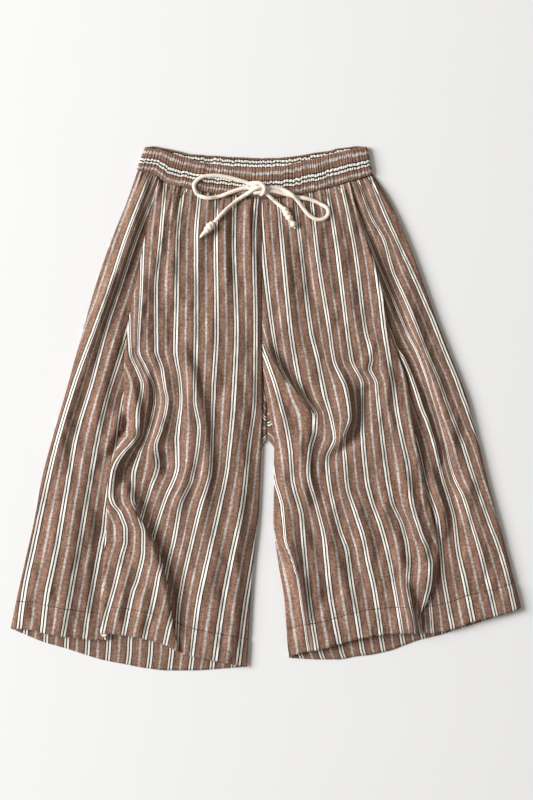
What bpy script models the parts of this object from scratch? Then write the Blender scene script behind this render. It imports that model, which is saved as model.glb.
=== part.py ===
"""Wide-leg drawstring shorts with one deep pleat in each front, laid flat on a surface.

The tables and the named sizes are in millimetres, and the meshes in metres. +X is to the
right of someone who looks down on the shorts with the waist away from them, +Y is towards
the waist and +Z is up off the surface. The origin is on the surface, under the middle of the
outline. "Left" and "right" are as that person sees them. "Inner" is towards the middle of
the shorts, and "outward" is towards a leg's side seam.
"""

import math
from collections import namedtuple

import bmesh
import bpy
import numpy as np
from mathutils import Vector

MM = 0.001

# Driving dimensions, in millimetres
CLOTH = 1.0  # one layer of linen as a rigid wall
SEAM_GAP = 0.3  # between pieces that are sewn together
WAIST_SEAM_GAP = 0.7  # the same along the wavy foot of the waistband, 0.3 where it is closest
PLEAT_GAP = 0.5  # between the layers inside a pleat
HEM_DEPTH = 37.0
HEM_RISE = 0.5  # a hem's turned-up layer thickens the panel by this much
HEM_STEP = 2.5  # half the distance over which it thickens
HEM_LINE_CLEAR = 9.0  # no other row of points is as close as this to the hem's line
BAND_WALL = 2.4  # casing, turnings and elastic of the waistband together
BAND_GATHERS = 82  # along the front of the waistband, and again along its back
BAND_GATHER_RISE = 1.0
PANEL_GATHER_RISE = 0.9
PANEL_GATHER_LENGTH = 70.0  # below the waist seam, where the gathers have faded out
CORD_RADIUS = 3.0
MIDDLE_CROWN = 2.6  # how far the middle of a front panel stands over its edges
SIDE_CROWN = 4.5  # the same for the part between the pleat and the side seam
SEAM_EASE = 26.0  # distance over which the cloth rises from a seamed edge
PLEAT_PAD_MARGIN = 2.0  # how far past its hidden fold a pleat still bears the cloth over it
PLEAT_PAD_EASE = 22.0  # distance over which that cloth then comes down
UPPER_FOLD_EASE = 22.0  # distance over which a pleat's lifted upper fold comes down
FLAT_BELOW_WAIST = 60.0  # where the middle of a panel has reached its full height
SIDE_FLAT_FROM = -330.0  # a side part lies flat at the hem and is full from the next height up
SIDE_FULL_FROM = -250.0

# Heights of the middle of each wall over the surface, in millimetres
BACK_LEVEL = CLOTH / 2
FRONT_LEVEL = CLOTH + SEAM_GAP + CLOTH / 2
LAYER = CLOTH + PLEAT_GAP
BAND_BACK_LEVEL = BAND_WALL / 2
BAND_LAYER_GAP = 0.5
BAND_END_BULGE = 0.6  # how much further than a half circle the band's ends stand out
BAND_FRONT_LEVEL = BAND_WALL + BAND_GATHER_RISE + BAND_LAYER_GAP + BAND_WALL / 2

# Numbers of faces
MIDDLE_COLUMNS = 20  # a gather takes two of them
SIDE_COLUMNS = 8
HIDDEN_COLUMNS = 2  # in each hidden layer of a pleat
TURN_ANGLES = (90, 45, 0, -45, -90)  # round the fold from one layer of a pleat to the next
BACK_COLUMNS = 8
PANEL_ROWS = 32
BACK_ROWS = 14
WAIST_CLOSENESS = 1.12  # over 1, a panel's rows are closer at the waist
BAND_TURN_ANGLES = (54, 18, -18, -54)  # round each end of the flattened waistband

Point = namedtuple("Point", "x y")
# One row of a leg: where its side seam, its pleat and its inner edge lie at a height y, how
# deep the pleat is folded there, and how far its upper fold stands over the layer below.
Row = namedtuple("Row", "y side pleat inner tuck lift")
# A soft fold in the cloth: how high, how wide to each side, and the line that it follows.
Fold = namedtuple("Fold", "rise width line")
Leg = namedtuple("Leg", "name rows hem_middle hem_side hem_back back_inner folds")

WAIST_SEAM = [
    Point(-174, 324), Point(-156, 321), Point(-145, 314), Point(-135, 306), Point(-114, 302),
    Point(-79, 294), Point(-35, 289), Point(-4, 286), Point(35, 289), Point(72, 297),
    Point(95, 303), Point(116, 309), Point(143, 318),
]
BAND_TOP_FRONT = [
    Point(-163, 355), Point(-137, 350), Point(-112, 341), Point(-82, 333), Point(-35, 328),
    Point(-5, 327), Point(12, 328), Point(58, 337), Point(106, 350), Point(136, 355),
]
BAND_TOP_BACK = [
    Point(-163, 355), Point(-152, 356), Point(-128, 351), Point(-98, 345), Point(-35, 341),
    Point(0, 340), Point(35, 342), Point(83, 350), Point(125, 356), Point(136, 355),
]
BAND_FOOT_BACK = [
    Point(-174, 324), Point(-150, 317), Point(-98, 306), Point(-35, 301), Point(0, 300),
    Point(35, 302), Point(83, 310), Point(125, 316), Point(143, 318),
]

LEFT_LEG = Leg(
    name="left",
    rows=[
        Row(322, -175, -143, -5.6, 62, 0.8),
        Row(284, -188, -152, -5.6, 56, 1.6),
        Row(229, -210, -165, -5.6, 40, 2.6),
        Row(175, -229, -175, -5.6, 30, 2.6),
        Row(120, -245, -186, -5.6, 22, 2.0),
        Row(66, -260, -192, -5.6, 15, 1.6),
        Row(12, -275, -193, -5.6, 9, 1.4),
        Row(-43, -291, -201, -6, 8, 1.4),
        Row(-97, -305, -214, -8, 8, 1.4),
        Row(-152, -315, -216, -11, 8, 1.2),
        Row(-206, -327, -220, -17, 7, 1.2),
        Row(-260, -339, -224, -21, 7, 1.1),
        Row(-315, -350, -224, -24, 7, 1.0),
    ],
    hem_middle=[
        Point(-224, -304), Point(-190, -308), Point(-169, -312), Point(-151, -316),
        Point(-136, -321), Point(-122, -329), Point(-102, -336), Point(-71, -342),
        Point(-38, -349), Point(-28, -351),
    ],
    hem_side=[
        Point(-347, -299), Point(-320, -300), Point(-305, -304), Point(-275, -309),
        Point(-246, -313), Point(-218, -315), Point(-200, -315),
    ],
    hem_back=[
        Point(-347, -299), Point(-332, -305), Point(-298, -318), Point(-269, -326),
        Point(-220, -341), Point(-190, -347), Point(-158, -353), Point(-129, -356),
        Point(-97, -356), Point(-67, -354), Point(-28, -351),
    ],
    back_inner=[
        Point(1.2, 301), Point(1.2, -24), Point(-2.5, -42), Point(-6, -60), Point(-8, -97),
        Point(-11, -152), Point(-17, -206), Point(-21, -260), Point(-24, -315), Point(-28, -351),
    ],
    folds=[
        Fold(5.5, 17, ((-188, 18), (-174, -16), (-171, -36), (-189, -63), (-206, -88), (-209, -124))),
        Fold(6.0, 17, ((-186, -92), (-170, -138), (-147, -190), (-133, -233), (-124, -296))),
        Fold(3.5, 18, ((-103, 18), (-95, -29), (-110, -84), (-132, -130))),
        Fold(2.5, 19, ((-62, 66), (-66, -20), (-84, -110), (-96, -190))),
    ],
)
RIGHT_LEG = Leg(
    name="right",
    rows=[
        Row(322, 143, 110, -5.3, 61, 0.8),
        Row(284, 167, 122, -5.3, 57, 1.6),
        Row(229, 192, 143, -5.3, 50, 2.6),
        Row(175, 212, 161, -5.3, 37, 2.6),
        Row(120, 232, 177, -5.3, 28, 2.4),
        Row(66, 253, 188, -4.4, 20, 2.2),
        Row(12, 274, 194, 0, 11, 1.8),
        Row(-43, 288, 204, 10, 9, 1.6),
        Row(-97, 301, 215, 12, 9, 1.6),
        Row(-152, 316, 226, 14, 9, 1.6),
        Row(-206, 330, 220, 17, 8, 1.4),
        Row(-260, 344, 207, 25, 8, 1.3),
        Row(-315, 357, 199, 29, 8, 1.2),
    ],
    hem_middle=[
        Point(31, -338), Point(50, -331), Point(73, -327), Point(98, -320), Point(118, -314),
        Point(141, -309), Point(155, -307), Point(181, -305), Point(199, -305), Point(222, -305),
    ],
    hem_side=[
        Point(181, -305), Point(199, -305), Point(222, -305), Point(240, -302),
        Point(256, -298), Point(280, -289), Point(298, -285), Point(315, -281),
        Point(336, -275), Point(347, -270),
    ],
    hem_back=[
        Point(31, -339), Point(73, -341), Point(95, -341), Point(118, -337), Point(135, -335),
        Point(163, -329), Point(182, -322), Point(205, -314), Point(235, -307),
        Point(252, -301), Point(280, -293), Point(347, -271),
    ],
    back_inner=[
        Point(1.5, 301), Point(1.8, -24), Point(6.5, -38), Point(11, -50), Point(12, -97),
        Point(14, -152), Point(17, -206), Point(25, -260), Point(29, -315), Point(31, -339),
    ],
    folds=[
        Fold(4.5, 16, ((-1, 86), (22, 41), (49, 12), (67, -16), (60, -56), (53, -84))),
        Fold(4.5, 15, ((128, 40), (128, 8), (115, -22), (104, -44))),
        Fold(3.5, 15, ((138, -110), (152, -160), (168, -214))),
        Fold(4.0, 15, ((172, -110), (190, -170), (192, -226))),
        Fold(4.5, 15, ((203, -124), (216, -170), (214, -226), (206, -270))),
    ],
)

PANEL_LENGTH = WAIST_SEAM[-1].y - LEFT_LEG.hem_middle[0].y

# The drawstring's routes in plan, each on one smooth curve. `over` lifts a point of the route
# over what it crosses or on to its end knot.
Route = namedtuple("Route", "x y over")
LOOP_LEFT = [
    Route(-22.6, 306.5, 0), Route(-34, 310, 0), Route(-50, 315, 0), Route(-72, 318, 0),
    Route(-91, 314, 0), Route(-99, 304, 0), Route(-95, 292, 0), Route(-82, 286, 0),
    Route(-63, 288, 0), Route(-46, 294, 0), Route(-34, 298, 0), Route(-22.6, 299.5, 0),
]
LOOP_RIGHT = [
    Route(1.6, 301, 0), Route(14, 299.5, 0), Route(26, 296, 3), Route(37, 288, 6.6),
    Route(45, 279, 4), Route(53, 268, 0), Route(61, 260, 0), Route(71, 256, 0),
    Route(80, 258, 0), Route(84.5, 264, 0), Route(84, 270, 0), Route(75, 277, 0),
    Route(60, 283.5, 0), Route(46, 286.5, 0), Route(31, 287.5, 0), Route(16, 291, 0),
    Route(1.6, 294, 0),
]
TAIL_LEFT = [
    Route(-22.8, 292.5, 0), Route(-30, 288.5, 0), Route(-39, 282.5, 0), Route(-49, 274, 0.5),
    Route(-58, 265, 1.5), Route(-71, 251, 3.2),
]
TAIL_RIGHT = [
    Route(-3.2, 286.3, 0), Route(2, 284.9, 0), Route(7, 282.5, 0), Route(12, 279.5, 0.8),
    Route(18, 275.2, 1.8), Route(24, 270.6, 2.4),
]
CORD_STEP = 9.0  # between the points of a tube
CORD_CLEARANCE = 0.3  # between the cord and the highest cloth under it
BOW_KNOT_LOW = Point(-22.0, 289.5)
BOW_KNOT_HIGH = Point(1.0, 309.5)
BOW_KNOT_THICKNESS = 11.0
BOW_KNOT_ROUNDING = 4.0
# An end knot is turned round the line of its tail: how far along it, and how far out.
Turned = namedtuple("Turned", "along radius")
TAIL_KNOT_LEFT = [
    Turned(0.3, 3.0), Turned(2.5, 5.0), Turned(7, 6.0), Turned(11, 5.2), Turned(15, 5.8),
    Turned(18.5, 4.4), Turned(22, 2.6), Turned(27, 1.2),
]
TAIL_KNOT_RIGHT = [
    Turned(0.3, 3.0), Turned(2.5, 4.8), Turned(8, 5.6), Turned(13, 5.0), Turned(17, 5.4),
    Turned(20.5, 3.6), Turned(23, 3.0), Turned(26, 4.4), Turned(30, 4.2), Turned(33, 1.6),
]
KNOT_SIDES = 12

LINEN = (0.262, 0.168, 0.118)
LINEN_SHADE = (0.235, 0.148, 0.104)
COTTON = (0.855, 0.760, 0.610)


# ---------------------------------------------------------------- curves through the tables


def slopes_of(xs, ys, loose):
    """Slope at each point of a table. Unless loose, the curve never swings past its points."""
    if loose:
        return np.gradient(ys, xs)
    steps, rates = np.diff(xs), np.diff(ys) / np.diff(xs)
    slopes = np.concatenate([rates[:1], np.zeros(len(xs) - 2), rates[-1:]])
    for i in range(1, len(xs) - 1):
        before, after = rates[i - 1], rates[i]
        if before * after > 0:
            share = (steps[i - 1] + 2 * steps[i]) / (3 * (steps[i - 1] + steps[i]))
            slopes[i] = 1 / (share / after + (1 - share) / before)
    return slopes


def smooth(xs, ys, x, loose=False):
    """Height at x of a smooth curve through the points (xs, ys), straight past its ends."""
    xs, ys = np.asarray(xs, float), np.asarray(ys, float)
    if xs[0] > xs[-1]:
        xs, ys = xs[::-1], ys[::-1]
    slopes = slopes_of(xs, ys, loose)
    if x <= xs[0]:
        return ys[0] + slopes[0] * (x - xs[0])
    if x >= xs[-1]:
        return ys[-1] + slopes[-1] * (x - xs[-1])
    low = int(np.searchsorted(xs, x)) - 1
    span = xs[low + 1] - xs[low]
    t = (x - xs[low]) / span
    return (
        ys[low] * (1 + 2 * t) * (1 - t) ** 2
        + slopes[low] * span * t * (1 - t) ** 2
        + ys[low + 1] * t * t * (3 - 2 * t)
        + slopes[low + 1] * span * t * t * (t - 1)
    )


def edge_y(edge, x):
    """Height y of an edge, given as points from left to right, at a place x along it."""
    return smooth([p.x for p in edge], [p.y for p in edge], x)


def row_value(leg, field, y):
    """A column of a leg's table at a height y."""
    return smooth([r.y for r in leg.rows], [getattr(r, field) for r in leg.rows], y)


def ease(value, low, high):
    """0 below low, 1 above high, and a soft step between them."""
    t = min(max((value - low) / (high - low), 0.0), 1.0)
    return t * t * (3 - 2 * t)


def mix(a, b, share):
    """The value a share of the way from a to b."""
    return a + (b - a) * share


def panel_steps(rows):
    """Shares of the way from the waist to the hem, closer at the waist and at the hem line."""
    even = np.linspace(0.0, 1.0, rows - 2) ** WAIST_CLOSENESS
    hem = 1.0 - HEM_DEPTH / PANEL_LENGTH
    kept = [s for s in even if abs(s - hem) > HEM_LINE_CLEAR / PANEL_LENGTH]
    return sorted(kept + [hem - HEM_STEP / PANEL_LENGTH, hem + HEM_STEP / PANEL_LENGTH])


# ---------------------------------------------------------------- the shape of a leg


def outward(leg):
    """+1 on a leg whose side seam is to the right of its pleat, -1 on the other."""
    return math.copysign(1, leg.rows[0].side - leg.rows[0].inner)


def place(leg, across, step, side_part):
    """Plan position of a point of a front panel.

    `across` goes from 0 at the inner edge to 1 at the side seam, `step` from 0 at the waist
    seam to 1 at the hem, and `side_part` from 0 on the hem's middle part to 1 on its side part.
    """
    top_x = mix(leg.rows[0].inner, WAIST_SEAM[-1].x if outward(leg) > 0 else WAIST_SEAM[0].x, across)
    hem_inner = leg.hem_middle[0] if outward(leg) > 0 else leg.hem_middle[-1]
    hem_outer = leg.hem_side[-1] if outward(leg) > 0 else leg.hem_side[0]
    hem_x = mix(hem_inner.x, hem_outer.x, across)
    hem_y = mix(edge_y(leg.hem_middle, hem_x), edge_y(leg.hem_side, hem_x), side_part)
    y = mix(edge_y(WAIST_SEAM, top_x) - WAIST_SEAM_GAP, hem_y, step)
    return mix(row_value(leg, "inner", y), row_value(leg, "side", y), across), y


def share_across(leg, step, side_part, tucks):
    """Where the pleat's upper fold (tucks 0) or its hidden fold (tucks 1) lies across a leg."""
    across = 0.7
    for _ in range(6):
        y = place(leg, across, step, side_part)[1]
        inner, side = row_value(leg, "inner", y), row_value(leg, "side", y)
        x = row_value(leg, "pleat", y) - outward(leg) * tucks * row_value(leg, "tuck", y)
        across = (x - inner) / (side - inner)
    return across


def fold_height(leg, x, y):
    """How far the soft folds lift the cloth at a point."""
    height = 0.0
    for fold in leg.folds:
        nearest = 1e9
        for (ax, ay), (bx, by) in zip(fold.line, fold.line[1:]):
            run, rise = bx - ax, by - ay
            along = ((x - ax) * run + (y - ay) * rise) / (run * run + rise * rise)
            along = min(max(along, 0.0), 1.0)
            nearest = min(nearest, math.hypot(x - ax - along * run, y - ay - along * rise))
        height += fold.rise * math.exp(-((nearest / fold.width) ** 2))
    return height


def from_inner(leg, x, y):
    """Distance from the inner edge, outward."""
    return outward(leg) * (x - row_value(leg, "inner", y))


def below_waist(x, y):
    """Distance below the waist seam."""
    return edge_y(WAIST_SEAM, x) - y


def middle_level(leg, x, y):
    """Height of the cloth between the inner edge and the pleat, which lies over the pleat."""
    hidden = outward(leg) * (row_value(leg, "pleat", y) - x)  # inward of the upper fold
    tuck, lift = row_value(leg, "tuck", y), row_value(leg, "lift", y)
    pad_end = tuck + PLEAT_PAD_MARGIN
    pad = 1 - ease(hidden, pad_end, pad_end + PLEAT_PAD_EASE)
    pad = max(pad, 1 - ease(below_waist(x, y), 0, FLAT_BELOW_WAIST))
    crown = MIDDLE_CROWN * ease(from_inner(leg, x, y), 0, SEAM_EASE)
    crown *= ease(below_waist(x, y), 0, FLAT_BELOW_WAIST)
    raised = crown + fold_height(leg, x, y)
    upper_fold = (2 * lift - LAYER) * math.exp(-max(hidden, 0) / UPPER_FOLD_EASE)
    return FRONT_LEVEL + max(2 * LAYER * pad, raised) + upper_fold


def side_level(leg, x, y):
    """Height of the cloth between the pleat and the side seam."""
    inner, outer = row_value(leg, "pleat", y), row_value(leg, "side", y)
    share = min(max((x - inner) / (outer - inner), 0.0), 1.0)
    crown = SIDE_CROWN * math.sin(math.pi * share) ** 0.8 * ease(y, SIDE_FLAT_FROM, SIDE_FULL_FROM)
    return FRONT_LEVEL + crown + 0.5 * fold_height(leg, x, y) * ease(share, 0, 0.3) * (1 - share)


def gather(x, y, count):
    """Height of the gathers under the waistband, up and down from one column to the next."""
    fade = 1 - ease(below_waist(x, y), 0, PANEL_GATHER_LENGTH)
    return PANEL_GATHER_RISE * fade * (count % 2)


def front_row(leg, step):
    """One row of points across a front panel, through the three layers of its pleat."""
    way = outward(leg)
    ridge = share_across(leg, step, 0, 0)
    valley = share_across(leg, step, 0.5, 1)
    ridge_x, ridge_y = place(leg, ridge, step, 0)
    valley_x, valley_y = place(leg, valley, step, 0.5)
    low_x, low_y = place(leg, share_across(leg, step, 1, 0), step, 1)
    upper = middle_level(leg, ridge_x, ridge_y)
    fold_radius = (upper - FRONT_LEVEL - LAYER) / 2
    row = []
    for i in range(MIDDLE_COLUMNS):
        x, y = place(leg, ridge * i / MIDDLE_COLUMNS, step, 0)
        x = min(x, ridge_x - fold_radius - 1) if way > 0 else max(x, ridge_x + fold_radius + 1)
        row.append((x, y, middle_level(leg, x, y) + gather(x, y, i)))
    for angle in TURN_ANGLES:
        turn = math.radians(angle)
        x = ridge_x - way * fold_radius * (1 - math.cos(turn))
        row.append((x, ridge_y, upper - fold_radius * (1 - math.sin(turn))))
    for i in range(1, HIDDEN_COLUMNS):
        share = i / HIDDEN_COLUMNS
        row.append((mix(ridge_x, valley_x, share), mix(ridge_y, valley_y, share), FRONT_LEVEL + LAYER))
    for angle in TURN_ANGLES:
        turn = math.radians(angle)
        x = valley_x + way * LAYER / 2 * (1 - math.cos(turn))
        row.append((x, valley_y, FRONT_LEVEL + LAYER / 2 * (1 + math.sin(turn))))
    for i in range(1, HIDDEN_COLUMNS):
        share = i / HIDDEN_COLUMNS
        row.append((mix(valley_x, low_x, share), mix(valley_y, low_y, share), FRONT_LEVEL))
    for i in range(SIDE_COLUMNS + 1):
        across = mix(share_across(leg, step, 1, 0), 1, i / SIDE_COLUMNS)
        x, y = place(leg, across, step, 1)
        row.append((x, y, side_level(leg, x, y) + gather(x, y, i) * (0 < i < SIDE_COLUMNS)))
    return row


def hem_thickening(steps, columns):
    """How much the turned-up layer adds to the upper face, row by row and column by column."""
    extra = np.zeros((len(steps), columns))
    rows = [i for i, s in enumerate(steps) if s > 1 - HEM_DEPTH / PANEL_LENGTH]
    outside_pleat = list(range(MIDDLE_COLUMNS - 1)) + list(range(columns - SIDE_COLUMNS + 1, columns))
    extra[np.ix_(rows, outside_pleat)] = HEM_RISE
    return extra


def back_grid(leg):
    """A back panel, flat on the surface."""
    way = outward(leg)
    inner_x, inner_y = [p.x for p in leg.back_inner], [p.y for p in leg.back_inner]
    corner = BAND_FOOT_BACK[-1] if way > 0 else BAND_FOOT_BACK[0]
    hem_inner, hem_outer = (leg.hem_back[0], leg.hem_back[-1])[:: 1 if way > 0 else -1]
    grid = []
    for step in np.linspace(0, 1, BACK_ROWS):
        row = []
        for i in range(BACK_COLUMNS + 1):
            across = i / BACK_COLUMNS
            top = edge_y(BAND_FOOT_BACK, mix(inner_x[0], corner.x, across)) - WAIST_SEAM_GAP
            foot = edge_y(leg.hem_back, mix(hem_inner.x, hem_outer.x, across))
            y = mix(top, foot, step)
            x = mix(smooth(inner_y, inner_x, y), row_value(leg, "side", y), across)
            row.append((x, y, BACK_LEVEL))
        grid.append(row)
    return np.array(grid)


# ---------------------------------------------------------------- the waistband


def band_column(top_edge, foot_edge, share, level, inset):
    """The foot and the top of the band at a share of the way from its left end to its right."""
    points = []
    for edge in (foot_edge, top_edge):
        x = mix(edge[0].x + inset, edge[-1].x - inset, share)
        points.append((x, edge_y(edge, x), level))
    return points


def band_turn(at_right, radius):
    """The columns round one end of the flattened band, from its front to its back."""
    middle = (BAND_FRONT_LEVEL + BAND_BACK_LEVEL) / 2
    half = (BAND_FRONT_LEVEL - BAND_BACK_LEVEL) / 2
    columns = []
    for angle in BAND_TURN_ANGLES:
        turn = math.radians(angle)
        out = radius * math.cos(turn) * (1 if at_right else -1)
        ends = band_column(BAND_TOP_FRONT, WAIST_SEAM, 1 if at_right else 0, 0, radius)
        columns.append([(x + out, y, middle + half * math.sin(turn)) for x, y, _ in ends])
    return columns if at_right else columns[::-1]


def waistband_wall():
    """The band's ring of columns, and how far its outer and inner faces stand from them."""
    radius = (BAND_FRONT_LEVEL - BAND_BACK_LEVEL) / 2 + BAND_END_BULGE
    columns, outer, inner = [], [], []

    def add(new, out, back):
        columns.extend(new)
        outer.extend(BAND_WALL / 2 + v for v in out)
        inner.extend(BAND_WALL / 2 + v for v in back)

    count = 2 * BAND_GATHERS
    waves = [BAND_GATHER_RISE * (i % 2) for i in range(count + 1)]
    flat = [0.0] * (count + 1)
    shares = [i / count for i in range(count + 1)]
    front = [band_column(BAND_TOP_FRONT, WAIST_SEAM, s, BAND_FRONT_LEVEL, radius) for s in shares]
    back = [band_column(BAND_TOP_BACK, BAND_FOOT_BACK, s, BAND_BACK_LEVEL, radius) for s in shares]
    turn_flat = [0.0] * len(BAND_TURN_ANGLES)
    add(front, waves, flat)
    add(band_turn(True, radius), turn_flat, turn_flat)
    add(back[::-1], flat, waves)
    add(band_turn(False, radius), turn_flat, turn_flat)
    grid = np.array(columns).transpose(1, 0, 2)
    return grid, np.array([outer, outer]), np.array([inner, inner])


# ---------------------------------------------------------------- the drawstring


def cloth_top(x, y):
    """Height of the upper face of the cloth under the bow."""
    if y > edge_y(WAIST_SEAM, x) - 4:
        return BAND_FRONT_LEVEL + BAND_WALL / 2 + BAND_GATHER_RISE
    leg = LEFT_LEG if x < LEFT_LEG.rows[0].inner else RIGHT_LEG
    return middle_level(leg, x, y) + gather(x, y, 1) + CLOTH / 2


def highest_cloth(x, y, reach):
    """Height of the highest cloth within a distance of a point."""
    around = [(0.0, 0.0)] + [
        (reach * math.cos(a), reach * math.sin(a)) for a in np.linspace(0, 2 * math.pi, 9)[:-1]
    ]
    return max(cloth_top(x + dx, y + dy) for dx, dy in around)


def cord_points(route):
    """Evenly spaced points of the smooth curve through a route, lying on the cloth."""
    plan = np.array([(p.x, p.y, p.over) for p in route], float)
    run = np.concatenate([[0], np.cumsum(np.linalg.norm(np.diff(plan[:, :2], axis=0), axis=1))])
    count = int(round(run[-1] / CORD_STEP)) + 1
    points = []
    for distance in np.linspace(0, run[-1], count):
        x, y, over = (smooth(run, plan[:, k], distance, loose=True) for k in range(3))
        z = highest_cloth(x, y, 2 * CORD_RADIUS) + CORD_CLEARANCE + CORD_RADIUS + max(over, 0)
        points.append((x, y, z))
    heights = np.array([p[2] for p in points])
    calm = heights.copy()
    for i in range(1, count - 1):
        calm[i] = max(heights[i], (heights[i - 1] + heights[i + 1]) / 2)
    return [(x, y, z) for (x, y, _), z in zip(points, calm)]


# ---------------------------------------------------------------- meshes


def finish(name, colour, roughness):
    """A plain cloth material."""
    material = bpy.data.materials.new(name)
    material.use_nodes = True
    shader = material.node_tree.nodes["Principled BSDF"]
    shader.inputs["Base Color"].default_value = (*colour, 1)
    shader.inputs["Roughness"].default_value = roughness
    shader.inputs["Metallic"].default_value = 0.0
    return material


def add_object(name, data, material):
    """A new object in the scene."""
    made = bpy.data.objects.new(name, data)
    data.materials.append(material)
    bpy.context.collection.objects.link(made)
    return made


def grid_normals(grid, around):
    """Unit normals of a grid of points, by the differences between its neighbours."""
    if around:
        across = np.roll(grid, -1, axis=1) - np.roll(grid, 1, axis=1)
    else:
        across = np.gradient(grid, axis=1)
    down = np.gradient(grid, axis=0)
    normals = np.cross(across, down)
    return normals / np.linalg.norm(normals, axis=2, keepdims=True)


def wall(name, grid, outer, inner, material, around=False, flip=1):
    """A closed wall over a grid of points: `outer` and `inner` are its two faces' distances.

    With `around` the columns close into a ring. `flip` is -1 where the grid's own normals
    point to the inner face.
    """
    grid = np.asarray(grid, float)
    normals = grid_normals(grid, around) * flip
    faces = (grid + normals * outer[..., None], grid - normals * inner[..., None])
    rows, columns = grid.shape[:2]
    shape = bmesh.new()
    sheets = [[[shape.verts.new(p * MM) for p in row] for row in face] for face in faces]
    pairs = [(c, (c + 1) % columns) for c in range(columns if around else columns - 1)]
    for sheet in sheets:
        for r in range(rows - 1):
            for c, d in pairs:
                shape.faces.new((sheet[r][c], sheet[r][d], sheet[r + 1][d], sheet[r + 1][c]))
    top, under = sheets
    for r in (0, rows - 1):
        for c, d in pairs:
            shape.faces.new((top[r][c], top[r][d], under[r][d], under[r][c]))
    if not around:
        for c in (0, columns - 1):
            for r in range(rows - 1):
                shape.faces.new((top[r][c], top[r + 1][c], under[r + 1][c], under[r][c]))
    bmesh.ops.recalc_face_normals(shape, faces=shape.faces)
    bmesh.ops.triangulate(shape, faces=shape.faces)
    mesh = bpy.data.meshes.new(name)
    shape.to_mesh(mesh)
    shape.free()
    return add_object(name, mesh, material)


def cord(name, route, material):
    """A tube of cord along a route."""
    points = cord_points(route)
    curve = bpy.data.curves.new(name, "CURVE")
    curve.dimensions = "3D"
    curve.bevel_depth = CORD_RADIUS * MM
    curve.bevel_resolution = 2
    curve.use_fill_caps = True
    spline = curve.splines.new("POLY")
    spline.points.add(len(points) - 1)
    for knot, point in zip(spline.points, points):
        knot.co = (*(Vector(point) * MM), 1)
    add_object(name, curve, material)
    return points


def bow_knot(material):
    """The rounded lump of the bow's knot, flat where it sits on the band."""
    low = cloth_top(BOW_KNOT_LOW.x, BOW_KNOT_HIGH.y) + CORD_CLEARANCE
    size = Vector((BOW_KNOT_HIGH.x - BOW_KNOT_LOW.x, BOW_KNOT_HIGH.y - BOW_KNOT_LOW.y, BOW_KNOT_THICKNESS))
    centre = Vector((BOW_KNOT_LOW.x, BOW_KNOT_LOW.y, low)) + size / 2
    shape = bmesh.new()
    bmesh.ops.create_cube(shape, size=1)
    bmesh.ops.scale(shape, vec=size * MM, verts=shape.verts)
    bmesh.ops.bevel(
        shape,
        geom=shape.edges[:],
        offset=BOW_KNOT_ROUNDING * MM,
        segments=3,
        profile=0.5,
        affect="EDGES",
        clamp_overlap=True,
    )
    bmesh.ops.translate(shape, vec=centre * MM, verts=shape.verts)
    mesh = bpy.data.meshes.new("bow_knot")
    shape.to_mesh(mesh)
    shape.free()
    return add_object("bow_knot", mesh, material)


def tail_knot(name, tail, profile, material):
    """A knot on the end of a tail, turned round the line in which the tail ends."""
    end, before = Vector(tail[-1]), Vector(tail[-2])
    line = end - before
    line.z = 0
    turn = line.to_track_quat("Z", "Y")
    shape = bmesh.new()
    rings = []
    for ring in profile:
        verts = []
        for i in range(KNOT_SIDES):
            angle = 2 * math.pi * i / KNOT_SIDES
            flat = Vector((ring.radius * math.cos(angle), ring.radius * math.sin(angle), ring.along))
            verts.append(shape.verts.new((end + turn @ flat) * MM))
        rings.append(verts)
    for near, far in zip(rings, rings[1:]):
        for i in range(KNOT_SIDES):
            j = (i + 1) % KNOT_SIDES
            shape.faces.new((near[i], near[j], far[j], far[i]))
    shape.faces.new(rings[0])
    shape.faces.new(rings[-1])
    bmesh.ops.recalc_face_normals(shape, faces=shape.faces)
    mesh = bpy.data.meshes.new(name)
    shape.to_mesh(mesh)
    shape.free()
    return add_object(name, mesh, material)


def build():
    """Every piece of the shorts."""
    for old in list(bpy.data.objects):
        bpy.data.objects.remove(old, do_unlink=True)
    steps = panel_steps(PANEL_ROWS)
    for leg in (LEFT_LEG, RIGHT_LEG):
        grid = np.array([front_row(leg, step) for step in steps])
        half = np.full(grid.shape[:2], CLOTH / 2)
        upper = half + hem_thickening(steps, grid.shape[1])
        front = f"front_{leg.name}"
        wall(front, grid, upper, half, finish(front, LINEN, 0.9), flip=-outward(leg))
        grid = back_grid(leg)
        half = np.full(grid.shape[:2], CLOTH / 2)
        back = f"back_{leg.name}"
        wall(back, grid, half, half, finish(back, LINEN_SHADE, 0.9), flip=-outward(leg))
    grid, outer, inner = waistband_wall()
    wall("waistband", grid, outer, inner, finish("waistband", LINEN, 0.9), around=True)
    bow_knot(finish("bow_knot", COTTON, 0.8))
    cord("bow_loop_left", LOOP_LEFT, finish("bow_loop_left", COTTON, 0.8))
    cord("bow_loop_right", LOOP_RIGHT, finish("bow_loop_right", COTTON, 0.8))
    tail = cord("cord_tail_left", TAIL_LEFT, finish("cord_tail_left", COTTON, 0.8))
    tail_knot("tail_knot_left", tail, TAIL_KNOT_LEFT, finish("tail_knot_left", COTTON, 0.8))
    tail = cord("cord_tail_right", TAIL_RIGHT, finish("cord_tail_right", COTTON, 0.8))
    tail_knot("tail_knot_right", tail, TAIL_KNOT_RIGHT, finish("tail_knot_right", COTTON, 0.8))


build()
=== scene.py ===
"""Wide-leg drawstring shorts in striped linen, laid flat: the looks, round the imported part.

The tables are in millimetres, in the part's own frame: +X to the right of someone who looks down
on the shorts with the waist away from them, +Y towards the waist and +Z up off the surface.
"Left" and "right" are as that person sees them. "Inner" is towards the middle of the shorts, and
"outward" is towards a leg's side seam. Meshes are in metres.
"""

import logging
import math
from collections.abc import Callable, Sequence
from dataclasses import dataclass, field
from enum import Enum

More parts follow.
